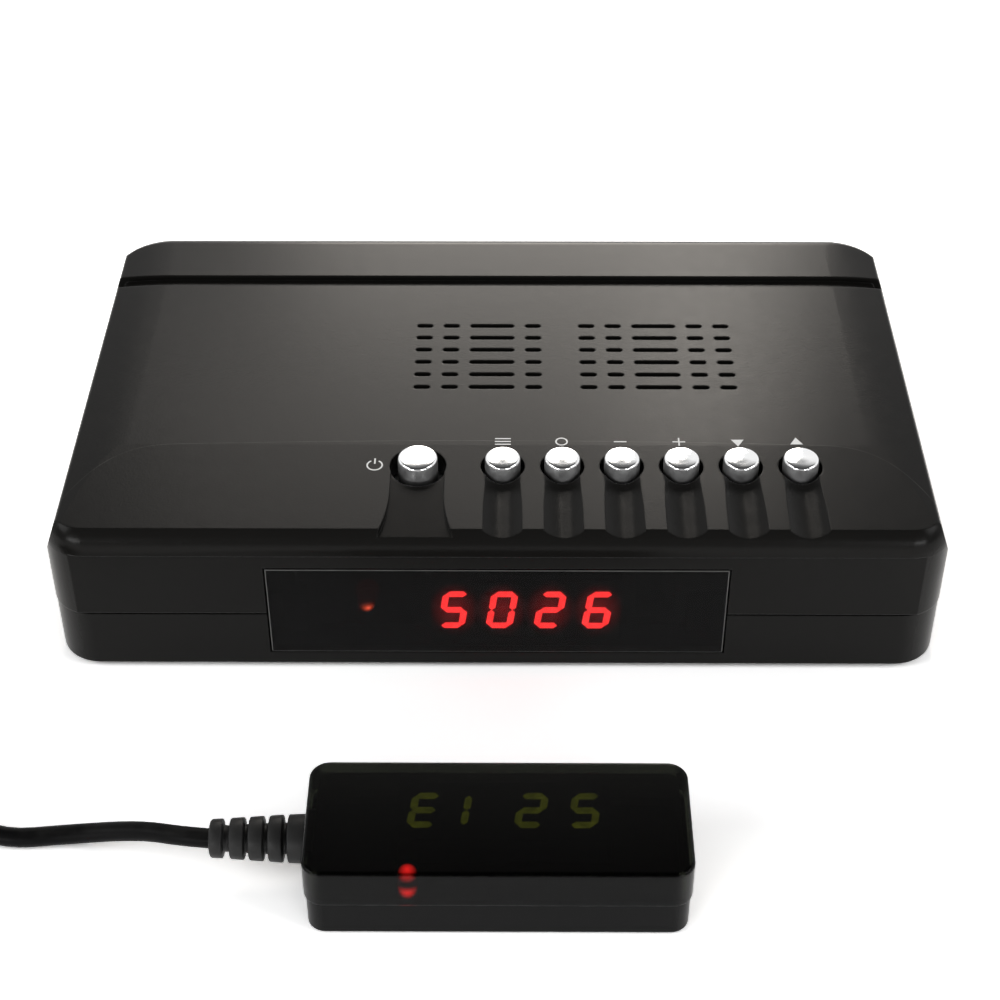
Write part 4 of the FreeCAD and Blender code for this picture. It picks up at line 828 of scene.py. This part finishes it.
def makeRing(x, y, size, gap=0):
    bpy.ops.object.select_all(action="DESELECT")
    bpy.ops.mesh.primitive_circle_add(vertices=marks["ringVertices"], radius=size / 2, fill_type="NOTHING",
                                      location=(x, y, marks["startHeight"]))
    ring = bpy.context.object
    bpy.ops.object.transform_apply(location=True)
    bpy.ops.object.mode_set(mode="EDIT")
    bpy.ops.mesh.select_all(action="SELECT")
    bpy.ops.mesh.extrude_edges_move(TRANSFORM_OT_translate={"value": (0, 0, 0)})
    inner = 1 - 2 * marks["stroke"] / size
    bpy.ops.transform.resize(value=(inner, inner, 1), center_override=(x, y, marks["startHeight"]))
    bpy.ops.object.mode_set(mode="OBJECT")
    if gap:
        selectFaces(ring, lambda face: abs(face.center.x - x) < gap and face.center.y > y)
        bpy.ops.mesh.delete(type="FACE")
        bpy.ops.object.mode_set(mode="OBJECT")
    return ring


def makeTriangle(x, y, size, up):
    bpy.ops.object.select_all(action="DESELECT")
    bpy.ops.mesh.primitive_circle_add(vertices=3, radius=size / 2, fill_type="NGON",
                                      location=(x, y, marks["startHeight"]),
                                      rotation=(0, 0, 0 if up else math.pi))
    return bpy.context.object


def makeMarks():
    size, stroke, y = marks["size"], marks["stroke"], marks["rowY"]
    x, powerY = marks["powerPlace"]
    powerSize, (barPlace, barLength) = marks["powerSize"], marks["powerBar"]
    middles = {key: (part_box(key + "_button")[0].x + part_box(key + "_button")[1].x) / 2 for key in keys}
    parts = [makeRing(x, powerY, powerSize, gap=powerSize * marks["powerGap"]),
             makeBar(x, powerY + powerSize * barPlace, stroke, powerSize * barLength)]
    parts += [makeBar(middles["menu"], y + lift * size, size * marks["menuWidth"], stroke)
              for lift in marks["menuBars"]]
    parts += [makeRing(middles["ok"], y, size), makeBar(middles["volume_down"], y, size, stroke),
              makeBar(middles["volume_up"], y, size, stroke), makeBar(middles["volume_up"], y, stroke, size),
              makeTriangle(middles["channel_down"], y, size * marks["triangleSize"], False),
              makeTriangle(middles["channel_up"], y, size * marks["triangleSize"], True)]
    bpy.ops.object.select_all(action="DESELECT")
    for part in parts:
        part.select_set(True)
    bpy.context.view_layer.objects.active = parts[0]
    bpy.ops.object.join()
    ink = bpy.context.object
    bpy.ops.object.transform_apply(location=True, rotation=True, scale=True)
    fall = ink.modifiers.new("fall", "SHRINKWRAP")
    fall.target = nodes["top_cover"]
    fall.wrap_method = "PROJECT"
    fall.use_project_z = True
    fall.use_positive_direction = False
    fall.use_negative_direction = True
    fall.offset = marks["inkLift"]
    bpy.ops.object.modifier_apply(modifier="fall")
    body = ink.modifiers.new("body", "SOLIDIFY")
    body.thickness = marks["inkThickness"]
    body.offset = 1
    bpy.ops.object.modifier_apply(modifier="body")
    ink.data.materials.append(materials["markInk"])
    finishPiece(ink, "keyMarks", "housing")


makeMarks()
print("marks made")

# Floor, world and softboxes
studio = {
    "floorSize": 6,
    "floorColour": 0.8,
    "floorShown": 1.15,  # how much more of it the camera and mirrors see, so that the paper reads white
    "paperFade": (0.32, 0.6),  # metres from the middle where the paper turns plain white
    "worldLight": 0.3,
    "sweepTop": (0.64, 0.77),  # how far up a direction looks where the white sweep ends
    "ceiling": 0.12,
    "frontFade": (-0.3, 0.2),  # how far back it looks where the dim room in front ends
    "roomInFront": 0.22,
    "softboxes": [
        # place, target, width, height, radiance, colour
        ((0.035, 1.05, 0.455), (0, 0, 0.02), 0.37, 0.45, 9.5, (1, 0.935, 0.855)),
        ((-0.05, 0.79, 0.68), (0, 0, 0.02), 0.4, 0.26, 3.3, (1, 0.945, 0.88)),
        ((0.15, 0.9, 0.7), (0, 0, 0.02), 0.09, 0.15, 16, (1, 0.935, 0.855)),
        ((-0.85, -0.3, 0.55), (0, 0, 0.02), 0.5, 0.5, 4.5, (1, 1, 1)),
        ((0.85, -0.3, 0.55), (0, 0, 0.02), 0.5, 0.5, 4, (1, 1, 1)),
        ((-0.54, -0.82, 0.18), (-0.06, -0.04, 0.02), 0.44, 0.12, 17, (1, 1, 1)),
        ((0.5, -0.86, 0.17), (0.06, -0.04, 0.02), 0.44, 0.12, 13, (1, 1, 1)),
    ],
}


def makeFloor():
    bpy.ops.object.select_all(action="DESELECT")
    bpy.ops.mesh.primitive_plane_add(size=studio["floorSize"], location=(0, 0, 0))
    floor = bpy.context.object
    floor.name = "floor"
    material, tree, shader = startMaterial("floorPaper")
    path = tree.nodes.new("ShaderNodeLightPath")
    mirrored = addMath(tree, "MAXIMUM", path.outputs["Is Glossy Ray"], path.outputs["Is Transmission Ray"])
    seen = addMath(tree, "MAXIMUM", mirrored, path.outputs["Is Camera Ray"])
    level = addMath(tree, "ADD", addProduct(tree, seen, studio["floorShown"]), studio["floorColour"])
    grey = tree.nodes.new("ShaderNodeCombineColor")
    for socket in grey.inputs:
        feed(tree, socket, level)
    paper = tree.nodes.new("ShaderNodeBsdfDiffuse")
    feed(tree, paper.inputs["Color"], grey.outputs[0])
    reach = addVector(tree, "LENGTH", addPlace(tree))
    far = addProduct(tree, addRange(tree, reach, *studio["paperFade"]), seen)
    plain = tree.nodes.new("ShaderNodeEmission")
    turn = tree.nodes.new("ShaderNodeMixShader")
    for socket, output in zip(turn.inputs, (far, paper.outputs[0], plain.outputs[0])):
        feed(tree, socket, output)
    feed(tree, tree.nodes["Material Output"].inputs["Surface"], turn.outputs[0])
    tree.nodes.remove(shader)
    floor.data.materials.append(material)


def makeWorld():
    world = bpy.data.worlds.new("studio")
    bpy.context.scene.world = world
    world.use_nodes = True
    tree = world.node_tree
    path = tree.nodes.new("ShaderNodeLightPath")
    direction = addSplit(tree, tree.nodes.new("ShaderNodeTexCoord").outputs["Generated"])
    # white paper sweep up to the ceiling, which is dim
    sweep = addRange(tree, direction["Z"], *studio["sweepTop"], 1, studio["ceiling"])
    front = addRange(tree, direction["Y"], *studio["frontFade"], studio["roomInFront"], 1)
    sweep = addProduct(tree, sweep, front)
    mirrored = addMath(tree, "MAXIMUM", path.outputs["Is Glossy Ray"], path.outputs["Is Transmission Ray"])
    soft = addProduct(tree, addMath(tree, "SUBTRACT", 1.0, mirrored), studio["worldLight"])
    strength = addMath(tree, "ADD", addProduct(tree, mirrored, sweep), soft)
    strength = addMath(tree, "MAXIMUM", strength, path.outputs["Is Camera Ray"])
    background = tree.nodes["Background"]
    feed(tree, background.inputs["Strength"], strength)
    background.inputs["Color"].default_value = (1, 1, 1, 1)


def makeSoftboxes():
    for place, target, width, height, radiance, colour in studio["softboxes"]:
        bpy.ops.object.light_add(type="AREA", location=place)
        box = bpy.context.object
        box.data.shape = "RECTANGLE"
        box.data.size = width
        box.data.size_y = height
        box.data.energy = radiance * math.pi * width * height
        box.data.color = colour
        box.rotation_euler = (Vector(target) - Vector(place)).to_track_quat("-Z", "Y").to_euler()


makeFloor()
makeWorld()
makeSoftboxes()
print("studio made")

bpy.context.view_layer.update()
